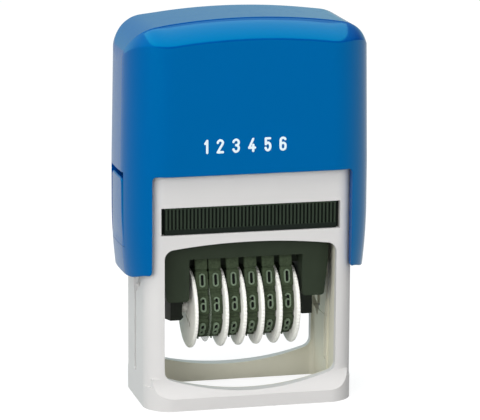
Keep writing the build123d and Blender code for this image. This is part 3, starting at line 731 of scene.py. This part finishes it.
def cap_mesh(settings, wing_round):
    """Outside, inside, cut edges and button openings of the cap as one closed shell."""
    mark, x_sign, y_sign = shape = column_marks()
    at_cut = cap_plan(*shape, np.full(mark.shape, CUT_SAMPLE))[0]
    cut_x = np.abs(at_cut) - CAP["cut"] + CAP["cut_corner"]
    low = CAP["cut_top"] - CAP["cut_corner"]
    z_start = low + np.sqrt(np.clip(CAP["cut_corner"] ** 2 - np.clip(cut_x, 0, 1) ** 2, 0, None))
    z_start = np.where(mark >= 3, low, z_start)
    shell = Shell()
    edge_round = CAP["cut_round"] * np.clip(3 - mark, 0, 1)
    outer = cap_dome(*shape, z_start, settings, edge_round=edge_round)
    in_opening = mark >= 4 - 1e-9
    hole = in_opening & np.roll(in_opening, -1)
    skip = np.zeros((len(outer) - 1, len(mark)), dtype=bool)
    skip[:CUT_ROWS] = hole
    shell.grid(outer, wrap=True, skip=skip)
    inner_x, inner_y = channel_plan(*shape)
    channel_top = np.full((1, len(mark)), CAP["channel_top"])
    levels = np.concatenate([outer[: CUT_ROWS + 1, :, 2], channel_top])
    levels[:CUT_ROWS] = np.where(mark < 3, levels[:1], levels[:CUT_ROWS])
    inner = points_at(inner_x, inner_y, levels)
    shell.grid(inner, wrap=True, skip=skip[: CUT_ROWS + 1])
    wall = CAP["wall"]
    hollow_settings = (settings[0] - wall, settings[1] - wall, 0.0, 0.0)
    hollow = cap_dome(*shape, channel_top[0], hollow_settings, wall)
    hollow[..., 2] = np.minimum(hollow[..., 2], CAP["ceiling"])
    shell.strip(inner[-1], hollow[0], wrap=True)
    shell.grid(hollow, wrap=True)
    cut = mark <= 3 + 1e-9
    for start in np.flatnonzero(cut & ~np.roll(cut, 1)):
        run = (start + np.arange(len(mark))) % len(mark)
        run = run[: np.argmax(~cut[run])]
        shell.strip(outer[0][run], inner[0][run])
    first_open = ROUND_ROWS + LOW_ROWS - 1
    for side in (-1, 1):
        run = np.flatnonzero((mark >= 3 - 1e-9) & (x_sign == side))
        run = run[np.argsort(-y_sign[run] * (10 - mark[run]), kind="stable")]
        part = (mark[run][None], x_sign[run][None], y_sign[run][None])
        plan_x, plan_y = cap_plan(*part, np.full((1, len(run)), CAP["bottom"]))[:2]
        z, tuck = wing_rows(mark[run], plan_x[0], plan_y[0], wing_round)
        x, y, nx, ny, facing = cap_plan(*part, z)
        free = np.clip((np.abs(x) - CAP["cut"]) / CAP["cut_corner"], 0, 1)
        outside = np.stack([x - nx * tuck * free, y - ny * tuck, z], -1)
        inside_z = np.maximum(z, np.minimum(CAP["bottom"], z[ROUND_ROWS]))
        inside = points_at(inner_x[run], inner_y[run], inside_z)
        opened = in_opening[run]
        gap = np.zeros((len(z) - 1, len(run) - 1), dtype=bool)
        gap[first_open:] = (opened[:-1] & opened[1:])[None]
        shell.grid(outside, skip=gap)
        shell.grid(inside, skip=gap)
        shell.strip(outside[0], inside[0])
        for column in (0, -1):
            shell.strip(outside[:, column], inside[:, column])
        edges = np.flatnonzero(opened)
        for column in (edges[0], edges[-1]):
            shell.strip(outside[first_open:, column], inside[first_open:, column])
            jamb = run[column]
            shell.strip(outer[: CUT_ROWS + 1, jamb], inner[: CUT_ROWS + 1, jamb])
        shell.strip(outside[first_open][edges], inside[first_open][edges])
        shell.strip(outer[CUT_ROWS][run[edges]], inner[CUT_ROWS][run[edges]])
    return shell.mesh("cap_shell")


# ---------------------------------------------------------------- lock buttons
BUTTON_TOP = 51.6
BUTTON_WIDTHS = ((36.3, 6.46), (37.0, 6.4), (40.0, 5.9), (44.0, 5.45), (51.6, 5.15))
BUTTON_TOP_ROUND = 1.5
BUTTON_EDGE = 0.4
BUTTON_BACK = 25.9
BUTTON_GAP = 0.08
BUTTON_RAMP = 1.5


def button_mesh(side, recess):
    """Lock button: upright loops round a slab that follows the cap's face a little below it.

    Each loop's outer side is the cap's plan with both ends rounded inward. The loops close
    in over the last stretch as a quarter circle, and sink as another one at the top edge.
    """
    low = CAP["open_low"] + BUTTON_GAP
    over_top = np.sin(np.linspace(0, math.pi / 2, 12))[1:]
    z = np.concatenate([np.linspace(low, BUTTON_TOP - BUTTON_TOP_ROUND, 30),
                        BUTTON_TOP - BUTTON_TOP_ROUND + BUTTON_TOP_ROUND * over_top])[:, None]
    half = np.interp(z, *zip(*BUTTON_WIDTHS))
    rise = np.clip(z - BUTTON_TOP + BUTTON_TOP_ROUND, 0, None)
    half = half - BUTTON_TOP_ROUND + np.sqrt(np.clip(BUTTON_TOP_ROUND**2 - rise**2, 0, None))
    crest = np.clip(z - BUTTON_TOP + BUTTON_EDGE, 0, BUTTON_EDGE)
    ramp = np.clip((z - low) / BUTTON_RAMP, 0, 1)
    sink = recess * ramp + BUTTON_EDGE - np.sqrt(BUTTON_EDGE**2 - crest**2)
    y = half * np.sin(np.linspace(-math.pi / 2, math.pi / 2, 33))
    face = side_face(z, y)
    rim = np.clip(BUTTON_EDGE - half + np.abs(y), 0, BUTTON_EDGE)
    soft = (BUTTON_EDGE - np.sqrt(BUTTON_EDGE**2 - rim**2)) * ramp
    outer = points_at((face - sink - soft) * side, y, z)
    back = points_at(BUTTON_BACK * side, half * np.linspace(1, -1, 5), z)
    return loop_mesh("lock_button", np.concatenate([outer, back], 1), ends=True)


# ---------------------------------------------------------------- figures
NUMERALS = (
    ("1", -10.75, 1.25), ("2", -7.68, 1.7), ("3", -4.15, 1.75),
    ("4", -0.55, 1.85), ("5", 3.0, 1.65), ("6", 6.42, 1.65),
)
NUMERAL_FOOT = 57.98
NUMERAL_RELIEF = 0.02
NUMERAL_SINK = 0.008
ARC_POINTS = 20
RING_POINTS = 49
LINE_POINTS = 41
GROUND_POINTS = 33
STROKE_STEP = 0.003


def arc(x, y, across, up, start, end):
    """Points on an ellipse between two angles in degrees."""
    turn = np.radians(np.linspace(start, end, ARC_POINTS))
    return np.stack([x + across * np.cos(turn), y + up * np.sin(turn)], -1)


def ring(low, high, across):
    """Upright ring of two half ellipses joined by straight sides."""
    up = min(across, (high - low) / 2)
    top, foot = arc(0, high - up, across, up, 180, 0), arc(0, low + up, across, up, 0, -180)
    return np.concatenate([top, foot])


def figure_lines(text, a, h):
    """Centre lines of a figure 2a wide and h tall: its rings, then its open lines."""
    def path(*parts):
        return np.concatenate([np.atleast_2d(np.array(part, float)) for part in parts])

    six_ring = ring(0, 0.57 * h, a)
    six_line = path((-a, 0.3 * h), (-a, h - a), arc(0, h - a, a, a, 180, 25)[1:])
    figures = {
        "0": ([ring(0, h, a)], []),
        "1": ([], [path((0.4 * a, 0), (0.4 * a, h)), path((-0.8 * a, 0.76 * h), (0.4 * a, h))]),
        "2": ([], [path(arc(0, h - a, a, a, 175, -20), (-a, 0)), path((-a, 0), (a, 0))]),
        "3": ([], [arc(0, 0.76 * h, a, 0.24 * h, 165, -88),
                   arc(0, 0.27 * h, a, 0.27 * h, 88, -165)]),
        "4": ([], [path((0.35 * a, h), (-a, 0.27 * h)), path((-a, 0.27 * h), (a, 0.27 * h)),
                   path((0.4 * a, 0.5 * h), (0.4 * a, 0))]),
        "5": ([], [path((-0.85 * a, h), (0.85 * a, h)),
                   path((-0.85 * a, h), (-0.85 * a, 0.52 * h)),
                   arc(0, 0.32 * h, a, 0.32 * h, 140, -160)]),
        "6": ([six_ring], [six_line]),
        "7": ([], [path((-a, h), (a, h)), path((a, h), (-0.3 * a, 0))]),
        "8": ([ring(0.52 * h, h, 0.92 * a), ring(0, 0.52 * h, a)], []),
        "9": ([(0, h) - six_ring], [(0, h) - six_line]),
    }
    return figures[text]


def evenly(line, count):
    """Points at even distances along a line."""
    walked = np.concatenate([[0], np.cumsum(np.hypot(*np.diff(line, axis=0).T))])
    place = np.linspace(0, walked[-1], count)
    spots = [np.interp(place, walked, values) for values in line.T]
    return np.stack(spots, -1), place


def stroke(line, closed, half, relief):
    """Raised line: a four-cornered section carried along a centre line in a plane.

    An open line is longer by half its width at each end, where its width shrinks as a circle
    does. The top is narrower than the foot.
    """
    if closed:
        points, _ = evenly(np.concatenate([line, line[:1]]), RING_POINTS)
        along = np.roll(points[:-1], -1, 0) - np.roll(points[:-1], 1, 0)
        along = np.concatenate([along, along[:1]])
        width = np.full(len(points), half)
    else:
        first, last = line[0] - line[1], line[-1] - line[-2]
        first, last = first / np.hypot(*first) * half, last / np.hypot(*last) * half
        longer = np.concatenate([[line[0] + first], line, [line[-1] + last]])
        points, place = evenly(longer, LINE_POINTS)
        along = np.gradient(points, axis=0)
        near = np.minimum(place, place[-1] - place)
        width = np.sqrt(np.clip(half**2 - np.clip(half - near, 0, None) ** 2, 0, None))
    along = along / np.hypot(along[:, 0], along[:, 1])[:, None]
    across = np.stack([-along[:, 1], along[:, 0]], -1) * width[:, None]
    section = ((-1.0, 0.0), (-0.8, relief), (0.8, relief), (1.0, 0.0))
    return np.stack([np.concatenate([points + across * side, np.full((len(points), 1), up)], -1)
                     for side, up in section], 1)


def infill(line, relief):
    """Flat plate between a centre line and its middle: a near-black plate of painted shadow sunk
    in the hollow of a figure.
    """
    points, _ = evenly(np.concatenate([line, line[:1]]), GROUND_POINTS)
    middle = np.broadcast_to(points.mean(0), points.shape)
    loops = [np.concatenate([flat, np.full((len(flat), 1), up)], -1)
             for flat, up in ((middle, 0), (points, 0), (points, relief), (middle, relief))]
    return np.stack(loops)


def figure_grids(text, size, relief, ground=False):
    """Grids of one figure's strokes, or of the plates of painted shadow sunk inside its rings and
    bows.

    The figure stands on y = 0 and is centred on x = 0.
    """
    wide, tall, thickness = size
    half = thickness / 2
    rings, lines = figure_lines(text, wide / 2 - half, tall - thickness)
    grids = []
    for number, line in enumerate((*rings, *lines)):
        grid = infill(line, relief) if ground else stroke(line, number < len(rings), half, relief)
        grids.append(grid + (0, half, STROKE_STEP * number))
    return grids


def numeral_mesh(height, thickness):
    """Upright numerals on the cap's front face, each in its own width."""
    shell = Shell()
    for text, x, width in NUMERALS:
        for grid in figure_grids(text, (width, height, thickness), NUMERAL_RELIEF):
            y = -CAP["depth"] + NUMERAL_SINK - grid[..., 2]
            shell.solid(np.stack([x + grid[..., 0], y, NUMERAL_FOOT + grid[..., 1]], -1))
    return shell.mesh("cap_numerals", turned=True)


# ---------------------------------------------------------------- thumbwheels and bands
WHEEL_Z = 20.3
WHEEL_X = (-11.68, -4.72, -0.62, 3.48, 7.58, 11.68)
WHEEL_RADIUS = 9.25
WHEEL_HALF = 0.45
BEADS = 66
HUB_RADIUS = 5.9
BORE_RADIUS = 1.3
KEYHOLE = {"length": 4.7, "width": 1.3, "depth": 1.6, "y": -1.8, "drop": 2.5, "tilt": 25}
BAND_HALF = 1.4
BAND_OFFSET = 1.95
BAND_INNER = 5.95
BAND_THICKNESS = 0.8
NOSE_HALF = 2.25
NOSE_TOP = 38.05
NOSE_CORNER = 0.55
BAND_SAMPLES = 1100
FIRST_FIGURE = 12.97
BLOCK_HALF = 2.15
BLOCK_RAMP = 0.22
BLANK_START = 3.0
BLANK_MARGIN = 0.35
BLANK_RISE = 0.1
NECK_RIB = 0.42
NECK_WAVE = 0.07
NECK_SINK = 0.08
NECK_STEP = 0.16
FIGURE_SINK = 0.05
# Height of the plates of painted shadow inside the figures.
GROUND_RELIEF = 0.08
SEPARATOR_RADIUS = 8.05
SEPARATOR_HALF = 0.06


def side_of(index):
    """Which way a band lies from its thumbwheel: the first one is turned round."""
    return 1 if index == 0 else -1


def about_shaft(x, radius, angle):
    """Points along the shaft, at a distance from it and an angle round it from its top."""
    return points_at(x, radius * np.sin(angle), WHEEL_Z + radius * np.cos(angle))


def wheel_mesh(index, bead_depth):
    """Thumbwheel: a profile turned about the shaft, with beads round the rim.

    The profile runs from the bore over the outer face, round the rim and down to the hub.
    On the rim the radius dips between beads as one minus the size of a sine.
    """
    out = -side_of(index)
    hub_end = -(BAND_OFFSET + BAND_HALF) * out
    face = WHEEL_HALF * out
    profile = np.array([
        (hub_end, BORE_RADIUS, 0), (face, BORE_RADIUS, 0), (face, 2.4, 0), (face, 2.55, 0),
        (face * 0.86, 2.75, 0), (face * 0.86, 8.2, 0), (face, 8.45, 0), (face, 8.75, 0.25),
        (face * 0.92, 9.02, 0.7), (face * 0.62, 9.2, 1), (0, WHEEL_RADIUS, 1),
        (-face * 0.62, 9.2, 1), (-face * 0.92, 9.02, 0.7), (-face, 8.75, 0.25), (-face, 8.4, 0),
        (-face, HUB_RADIUS + 0.2, 0), (-face * 1.1, HUB_RADIUS, 0), (hub_end, HUB_RADIUS, 0),
        (hub_end, BORE_RADIUS, 0),
    ])
    angle = np.linspace(0, 2 * math.pi, BEADS * 8, endpoint=False)[:, None]
    dip = (1 - np.abs(np.sin(angle * BEADS / 2))) * bead_depth
    radius = profile[:, 1] - dip * profile[:, 2]
    points = about_shaft(WHEEL_X[index] + profile[:, 0], radius, angle)
    return loop_mesh("wheel", points.transpose(1, 0, 2))


def belt_path(samples=1400):
    """Inner line of a band round the hub and the bridge: length, point and outward normal.

    It starts in the middle of the top and runs down the front: a straight top, the nose's
    arc, the straight that touches nose and hub, and the hub's arc to the bottom; the back
    half mirrors it.
    """
    apex_y, apex_z = NOSE_HALF - NOSE_CORNER, NOSE_TOP - NOSE_CORNER
    rise = apex_z - WHEEL_Z
    span = math.hypot(apex_y, rise)
    lean = math.atan2(rise, apex_y) - math.acos((BAND_INNER - NOSE_CORNER) / span)
    nose = np.linspace(math.pi / 2, lean, 20)
    hub = np.linspace(lean, -math.pi / 2, 90)
    y = np.concatenate([[0.0], apex_y + NOSE_CORNER * np.cos(nose), BAND_INNER * np.cos(hub)])
    z = np.concatenate([[NOSE_TOP], apex_z + NOSE_CORNER * np.sin(nose),
                        WHEEL_Z + BAND_INNER * np.sin(hub)])
    turn = np.concatenate([[math.pi / 2], nose, hub])
    y, z, turn = (np.concatenate([a, b]) for a, b in (
        (y, -y[-2::-1]), (z, z[-2::-1]), (turn, -math.pi - turn[-2::-1])))
    walked = np.concatenate([[0], np.cumsum(np.hypot(np.diff(y), np.diff(z)))])
    place = np.linspace(0, walked[-1], samples)
    return (place, *(np.interp(place, walked, values) for values in (-y, z, turn)))


def on_belt(path, place, height):
    """Points at a walked length along the band and a height over its inner line."""
    walked, y, z, turn = path
    place = np.mod(place, walked[-1])
    angle = np.interp(place, walked, turn)
    return (np.interp(place, walked, y) - height * np.cos(angle),
            np.interp(place, walked, z) + height * np.sin(angle))


def keyhole_mesh(index):
    """Stadium-shaped bar across the outer face of a thumbwheel, for its keyhole."""
    straight = (KEYHOLE["length"] - KEYHOLE["width"]) / 2
    radius = KEYHOLE["width"] / 2
    outline = np.concatenate([arc(straight, 0, radius, radius, -90, 90),
                              arc(-straight, 0, radius, radius, 90, 270)])
    tilt = math.radians(KEYHOLE["tilt"])
    cos, sin = math.cos(tilt), math.sin(tilt)
    turned = outline @ np.array([[cos, sin], [-sin, cos]])
    face = WHEEL_X[index] - side_of(index) * WHEEL_HALF
    loops = [np.stack([np.full(len(turned), x), KEYHOLE["y"] + turned[:, 0] * share,
                       WHEEL_Z - KEYHOLE["drop"] + turned[:, 1] * share], -1)
             for x, share in ((face - 1, 0.0), (face - 1, 1.0), (face + KEYHOLE["depth"], 1.0),
                              (face + KEYHOLE["depth"], 0.0))]
    return loop_mesh("keyhole", np.stack(loops))


def carved(mesh, tool):
    """A mesh with another one cut out of it."""
    block, knife = placed("block", mesh), placed("knife", tool)
    cutter = block.modifiers.new("cut", "BOOLEAN")
    cutter.object = knife
    cutter.operation = "DIFFERENCE"
    cutter.solver = "EXACT"
    ready = block.evaluated_get(bpy.context.evaluated_depsgraph_get())
    result = bpy.data.meshes.new_from_object(ready)
    bpy.data.objects.remove(block)
    bpy.data.objects.remove(knife)
    return result


def figure_places(total, pitch):
    """Where each figure's middle lies along the band, and which figure it is.

    One figure lies on top, four run down the front after a blank, and five come up the back.
    """
    front = [FIRST_FIGURE + pitch * step for step in range(4)]
    spread = (total - front[-1]) / 6
    back = [front[-1] + spread * step for step in range(1, 6)]
    return list(zip([0.0, *front, *back], "1098765432"))


def band_mesh(index, path, places, block_relief):
    """Band: a flat strip's section carried round the belt line.

    Its height is the strip's thickness plus a flat-topped bump under every figure, with
    small ribs between two bumps, and it is a little wider at a bump than between them.
    """
    total = path[0][-1]
    place = np.linspace(0, total, BAND_SAMPLES, endpoint=False)
    near = np.full(place.shape, 99.0)
    for middle, _ in places:
        near = np.minimum(near, np.abs(np.mod(place - middle + total / 2, total) - total / 2))
    block = np.clip((BLOCK_HALF - near) / BLOCK_RAMP, 0, 1)
    block = block * block * (3 - 2 * block)
    blank = (place > BLANK_START) & (place < FIRST_FIGURE - BLOCK_HALF - BLANK_MARGIN)
    wave = NECK_WAVE * np.cos((near - BLOCK_HALF) * 2 * math.pi / NECK_RIB) - NECK_SINK
    rib = np.where(blank, BLANK_RISE, wave)
    height = BAND_THICKNESS + rib * (1 - block) + block_relief * block
    half = BAND_HALF - NECK_STEP + NECK_STEP * np.maximum(block, blank * 1.0)
    x_unit = np.array([-1, -1, -1, -0.96, -0.88, 0, 0.88, 0.96, 1, 1, 1, 0])
    rise = np.array([0.0, 0.5, 0.88, 0.97, 1, 1, 1, 0.97, 0.88, 0.5, 0.0, 0.0])
    x = WHEEL_X[index] + BAND_OFFSET * side_of(index) + half[:, None] * x_unit
    y, z = on_belt(path, np.broadcast_to(place[:, None], x.shape), height[:, None] * rise)
    points = np.stack([x, y, z], -1)
    return loop_mesh("band", np.concatenate([points, points[:1]]))


def raised_mesh(index, path, places, size, lift, relief, ground=False):
    """Grids of every figure bent round a band; on its front run they stand on their heads."""
    x_middle = WHEEL_X[index] + BAND_OFFSET * side_of(index)
    shell = Shell()
    for middle, text in places:
        for grid in figure_grids(text, size, relief, ground):
            y, z = on_belt(path, middle + grid[..., 1] - size[1] / 2, lift + grid[..., 2])
            shell.solid(np.stack([x_middle + grid[..., 0], y, z], -1))
    return shell.mesh("figures", turned=True)


def separator_mesh():
    """Thin disc between the first two bands: a flat profile turned about the shaft."""
    middle = (WHEEL_X[0] + WHEEL_X[1]) / 2
    angle = np.linspace(0, 2 * math.pi, 120, endpoint=False)
    x = middle + SEPARATOR_HALF * np.array([[1], [1], [-1], [-1], [1]])
    inner, outer = BORE_RADIUS, SEPARATOR_RADIUS
    radius = np.array([[inner], [outer], [outer], [inner], [inner]])
    return loop_mesh("separator", about_shaft(x, radius, angle))


# ---------------------------------------------------------------- return spring
SPRING_RADIUS = 5.4
SPRING_WIRE = 0.9
SPRING_COILS = 8


def spring_mesh(low, high):
    """Coil spring between two heights: a circle carried up a helix and closed at its ends.

    The centre line climbs evenly as it turns at one radius from the axis.
    """
    half = SPRING_WIRE / 2
    turn = np.linspace(0, 2 * math.pi * SPRING_COILS, SPRING_COILS * 48 + 1)[:, None]
    around = np.linspace(0, 2 * math.pi, 14, endpoint=False)
    reach = SPRING_RADIUS + half * np.cos(around)
    height = low + half + (high - low - SPRING_WIRE) * turn / turn[-1] + half * np.sin(around)
    loops = np.stack([reach * np.cos(turn), reach * np.sin(turn), height], -1)
    return loop_mesh("return_spring", loops, ends=True)


# ---------------------------------------------------------------- operators
class StampOperator(bpy.types.Operator):
    """Shared parts of every builder: its options and the finish settings that it reads."""

    bl_options = {"REGISTER", "UNDO"}

    @property
    def finish(self):
        return bpy.context.scene.stamp_finish


class STAMP_OT_stage(StampOperator):
    """Make the floor, the soft lights and the camera"""

    bl_idname = "stamp.stage"
    bl_label = "Stage"

    def execute(self, context):
        make_stage(context.scene.stamp_stage)
        return {"FINISHED"}


class STAMP_OT_cap(StampOperator):
    """Build the handle cap as a smooth shell with its crease and button openings"""

    bl_idname = "stamp.cap"
    bl_label = "Handle cap"

    def execute(self, context):
        sizes = context.scene.stamp_cap
        settings = (sizes.roll_reach / MM, sizes.roll_drop / MM, sizes.groove / MM, sizes.lip / MM)
        mesh = cap_mesh(settings, sizes.wing_round / MM)
        gloss = finish_named("cap_gloss", cap_finish, self.finish.cap)
        add_piece("cap_shell", mesh, gloss, "cap", ["cap"], sharp=9.0)
        return {"FINISHED"}


class STAMP_OT_numerals(StampOperator):
    """Print the white numerals on the front of the cap"""

    bl_idname = "stamp.numerals"
    bl_label = "Cap numerals"

    def execute(self, context):
        sizes = context.scene.stamp_cap
        mesh = numeral_mesh(sizes.numeral_height / MM, sizes.numeral_stroke / MM)
        ink = finish_named("numeral_ink", ink_finish, self.finish.numeral)
        add_piece("cap_numerals", mesh, ink, "cap")
        return {"FINISHED"}


class STAMP_OT_buttons(StampOperator):
    """Build the two lock buttons, sunk at the top and flush at the foot"""

    bl_idname = "stamp.buttons"
    bl_label = "Lock buttons"

    def execute(self, context):
        gloss = finish_named("cap_gloss", cap_finish, self.finish.cap)
        for name, side in SIDES:
            node = "lock_button_" + name
            mesh = button_mesh(side, context.scene.stamp_cap.recess / MM)
            add_piece(node + "_face", mesh, gloss, node, [node], sharp=38.0)
        return {"FINISHED"}


class STAMP_OT_wheels(StampOperator):
    """Build the six thumbwheels with beaded rims"""

    bl_idname = "stamp.wheels"
    bl_label = "Thumbwheels"

    def execute(self, context):
        nylon = finish_named("wheel_nylon", wheel_finish, self.finish.wheel)
        depth = context.scene.stamp_band.bead_depth / MM
        for index in range(len(WHEEL_X)):
            node = "number_wheel_%d" % (index + 1)
            mesh = wheel_mesh(index, depth)
            if index == 0:
                mesh = carved(mesh, keyhole_mesh(index))
            add_piece(node + "_disc", mesh, nylon, node, [node], sharp=35.0)
        return {"FINISHED"}


class STAMP_OT_bands(StampOperator):
    """Build the six number bands with their raised figures"""

    bl_idname = "stamp.bands"
    bl_label = "Number bands"

    def execute(self, context):
        sizes = context.scene.stamp_band
        finish = self.finish
        belt = finish_named("band_belt", rubber, "band_belt", finish.band, 0.3)
        raised = finish_named("band_figure", rubber, "band_figure", finish.figure, 0.2)
        # Painted shadow: near-black plates inside the figures stand in for the shade in their
        # hollows.
        inked = finish_named("band_inked", rubber, "band_inked", finish.inked, 0.4)
        path = belt_path()
        places = figure_places(path[0][-1], sizes.pitch / MM)
        block = sizes.block_relief / MM
        figure = (sizes.figure_width / MM, sizes.figure_height / MM, sizes.figure_stroke / MM)
        lift = BAND_THICKNESS + block - FIGURE_SINK
        for index in range(len(WHEEL_X)):
            node = "number_band_%d" % (index + 1)
            band = (index, path, places)
            mesh = band_mesh(*band, block)
            add_piece(node + "_belt", mesh, belt, "carriage", [node])
            mesh = raised_mesh(*band, figure, lift, sizes.figure_relief / MM)
            add_piece(node + "_figures", mesh, raised, "carriage")
            mesh = raised_mesh(*band, figure, lift, GROUND_RELIEF, ground=True)
            add_piece(node + "_grounds", mesh, inked, "carriage")
        washer = finish_named("separator_washer", washer_finish, finish.separator)
        add_piece("band_separator_disc", separator_mesh(), washer, "carriage",
                  ["band_separator"])
        return {"FINISHED"}


class STAMP_OT_spring(StampOperator):
    """Build the return spring as a coil between the heights of the imported one"""

    bl_idname = "stamp.spring"
    bl_label = "Return spring"

    def execute(self, context):
        low, high = (corner[2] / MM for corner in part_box("return_spring"))
        steel = finish_named("spring_steel", steel_finish, self.finish.steel)
        spring = add_piece("return_spring_coil", spring_mesh(low, high), steel, "frame",
                           ["return_spring"])
        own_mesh(spring)
        return {"FINISHED"}


class STAMP_OT_finishes(StampOperator):
    """Give the remaining pieces of the stamp their finishes"""

    bl_idname = "stamp.finishes"
    bl_label = "Other finishes"

    def execute(self, context):
        finish = self.finish
        dress(frame_finish(finish.frame, finish.frame_inside_bounce), "frame")
        dark = dark_plastic("carriage_satin", finish.carriage)
        dress(dark, "carriage", "print_bridge", "cap_core")
        bracket = dark_plastic("bracket_satin", finish.bracket)
        dress(bracket, "axle_bracket_left", "axle_bracket_right")
        dress(cartridge_finish(finish.cartridge, finish.rib), "ink_cartridge")
        dress(felt_finish(finish.pad), "ink_pad")
        dress(finish_named("wheel_nylon", wheel_finish, finish.wheel), "wheel_axle")
        steel = finish_named("spring_steel", steel_finish, finish.steel)
        dress(steel, "button_pin_left", "button_pin_right", "pivot_pin_left", "pivot_pin_right")
        return {"FINISHED"}


# ---------------------------------------------------------------- stage
CAMERA_PLACE = (-0.15821, -0.64651, 0.19097)
CAMERA_YAW = 13.77
CAMERA_PITCH = 12.62
CAMERA_ROLL = 0.31
LENS = 228.5
SENSOR = 36.0
FLOOR_HALF = 3.0
FLOOR_SHADE = (0.25, 0.25, 0.25, 1)
FLOOR_GLOW = 0.8
FLOOR_MIRRORED = 0.45
SKY_ALL = 0.12
SKY_BACK = 0.62
SKY_LEFT = 0.9
SKY_UP = 0.4
SKY_TONE = (0.6, 0.98, 1, 1)
WHITE = (1, 1, 1, 1)
LIGHT_AIM = (0, 0, 0.045)
TOP_LIGHT = {"place": (0.0, -0.1, 0.85), "size": (1.2, 1.2)}
LEFT_LIGHT = {"place": (-0.57, -0.72, 0.25), "size": (0.6, 0.6)}
FRONT_LIGHT = {"place": (0.4, -1.0, 0.3), "size": (0.7, 0.6)}


def make_camera():
    """Long lens on the left of the front, a little above the stamp."""
    data = bpy.data.cameras.new("view")
    data.lens = LENS
    data.sensor_width = SENSOR
    data.sensor_fit = "HORIZONTAL"
    data.clip_start = 0.05
    data.clip_end = 20.0
    camera = placed("view", data)
    turn = (Matrix.Rotation(math.radians(-CAMERA_YAW), 4, "Z")
            @ Matrix.Rotation(math.radians(90 - CAMERA_PITCH), 4, "X")
            @ Matrix.Rotation(math.radians(CAMERA_ROLL), 4, "Z"))
    camera.matrix_world = Matrix.Translation(CAMERA_PLACE) @ turn
    bpy.context.scene.camera = camera


def add_light(name, power, place, size, reflected=False):
    """Rectangular soft light that points at the stamp and may show in glossy surfaces."""
    data = bpy.data.lights.new(name, "AREA")
    data.shape = "RECTANGLE"
    data.size, data.size_y = size
    data.energy = power
    light = placed(name, data)
    away = Vector(place) - Vector(LIGHT_AIM)
    turn = away.to_track_quat("Z", "Y").to_matrix().to_4x4()
    light.matrix_world = Matrix.Translation(place) @ turn
    light.visible_camera = False
    light.visible_glossy = reflected


def floor_finish():
    """Pale table: diffuse, lifted towards white for the camera and in glossy surfaces."""
    material = bpy.data.materials.new("pale_floor")
    material.use_nodes = True
    tree = material.node_tree
    tree.nodes.clear()
    wire = Wire(tree)
    seen = wire.node("ShaderNodeLightPath", output="Is Camera Ray")
    mirrored = wire.node("ShaderNodeLightPath", output="Is Glossy Ray")
    cloth = wire.node("ShaderNodeBsdfDiffuse", {"Color": FLOOR_SHADE})
    strength = seen * FLOOR_GLOW + mirrored * FLOOR_MIRRORED
    glow = wire.node("ShaderNodeEmission", {"Color": WHITE, "Strength": strength})
    both = wire.node("ShaderNodeAddShader", {0: cloth, 1: glow})
    end = tree.nodes.new("ShaderNodeOutputMaterial")
    tree.links.new(both.socket, end.inputs["Surface"])
    return material


def make_floor():
    """Square of table under the stamp."""
    corners = np.array([(-1, -1, 0), (1, -1, 0), (1, 1, 0), (-1, 1, 0)], float) * FLOOR_HALF
    mesh = bpy.data.meshes.new("floor")
    mesh.from_pydata(corners.tolist(), [], [(0, 1, 2, 3)])
    floor = placed("floor", mesh)
    mesh.materials.append(floor_finish())


def make_sky(level):
    """White for the camera; for the rest brighter at the back, on the left and above."""
    world = bpy.data.worlds.new("sky")
    bpy.context.scene.world = world
    world.use_nodes = True
    tree = world.node_tree
    tree.nodes.clear()
    wire = Wire(tree)
    camera = wire.node("ShaderNodeLightPath", output="Is Camera Ray")
    way = wire.node("ShaderNodeTexCoord", output="Generated")
    back = way.axis(1).step(0.2, 0.9)
    left = (way.axis(0) * -1).step(0.1, 0.9)
    up = way.axis(2).step(0.25, 0.9)
    soft = level * (SKY_ALL + back * SKY_BACK + left * SKY_LEFT + up * SKY_UP)
    strength = camera + (1 - camera) * soft
    tone = {0: back * (1 - camera), 6: WHITE, 7: SKY_TONE}
    tone = wire.node("ShaderNodeMix", tone, output=2, data_type="RGBA")
    sky = wire.node("ShaderNodeBackground", {"Color": tone, "Strength": strength})
    end = tree.nodes.new("ShaderNodeOutputWorld")
    tree.links.new(sky.socket, end.inputs["Surface"])


def make_stage(settings):
    """Floor, sky, lights and camera."""
    make_floor()
    make_sky(settings.sky)
    add_light("top_light", settings.top_light, **TOP_LIGHT, reflected=True)
    add_light("left_light", settings.left_light, **LEFT_LIGHT)
    add_light("front_light", settings.front_light, **FRONT_LIGHT)
    make_camera()
    bpy.context.scene.view_settings.view_transform = "Standard"


# ---------------------------------------------------------------- panel and registration
BUILDERS = (
    STAMP_OT_stage,
    STAMP_OT_finishes,
    STAMP_OT_cap,
    STAMP_OT_numerals,
    STAMP_OT_buttons,
    STAMP_OT_wheels,
    STAMP_OT_bands,
    STAMP_OT_spring,
)


class STAMP_PT_panel(bpy.types.Panel):
    """Sidebar panel with a button for each builder and the sizes and colours they use"""

    bl_idname = "STAMP_PT_panel"
    bl_label = "Number Stamp"
    bl_space_type = "VIEW_3D"
    bl_region_type = "UI"
    bl_category = "Number Stamp"

    def draw(self, context):
        for builder in BUILDERS:
            self.layout.operator(builder.bl_idname)
        for name, group in GROUPS.items():
            box = self.layout.box()
            for key in group.__annotations__:
                box.prop(getattr(context.scene, name), key)


def register():
    for name, group in GROUPS.items():
        bpy.utils.register_class(group)
        setattr(bpy.types.Scene, name, bpy.props.PointerProperty(type=group))
    for entry in (*BUILDERS, STAMP_PT_panel):
        bpy.utils.register_class(entry)


def unregister():
    for entry in (STAMP_PT_panel, *reversed(BUILDERS)):
        bpy.utils.unregister_class(entry)
    for name, group in GROUPS.items():
        delattr(bpy.types.Scene, name)
        bpy.utils.unregister_class(group)


def main():
    """Build everything in order."""
    register()
    for builder in BUILDERS:
        group, name = builder.bl_idname.split(".")
        getattr(getattr(bpy.ops, group), name)()


if __name__ == "__main__":
    main()
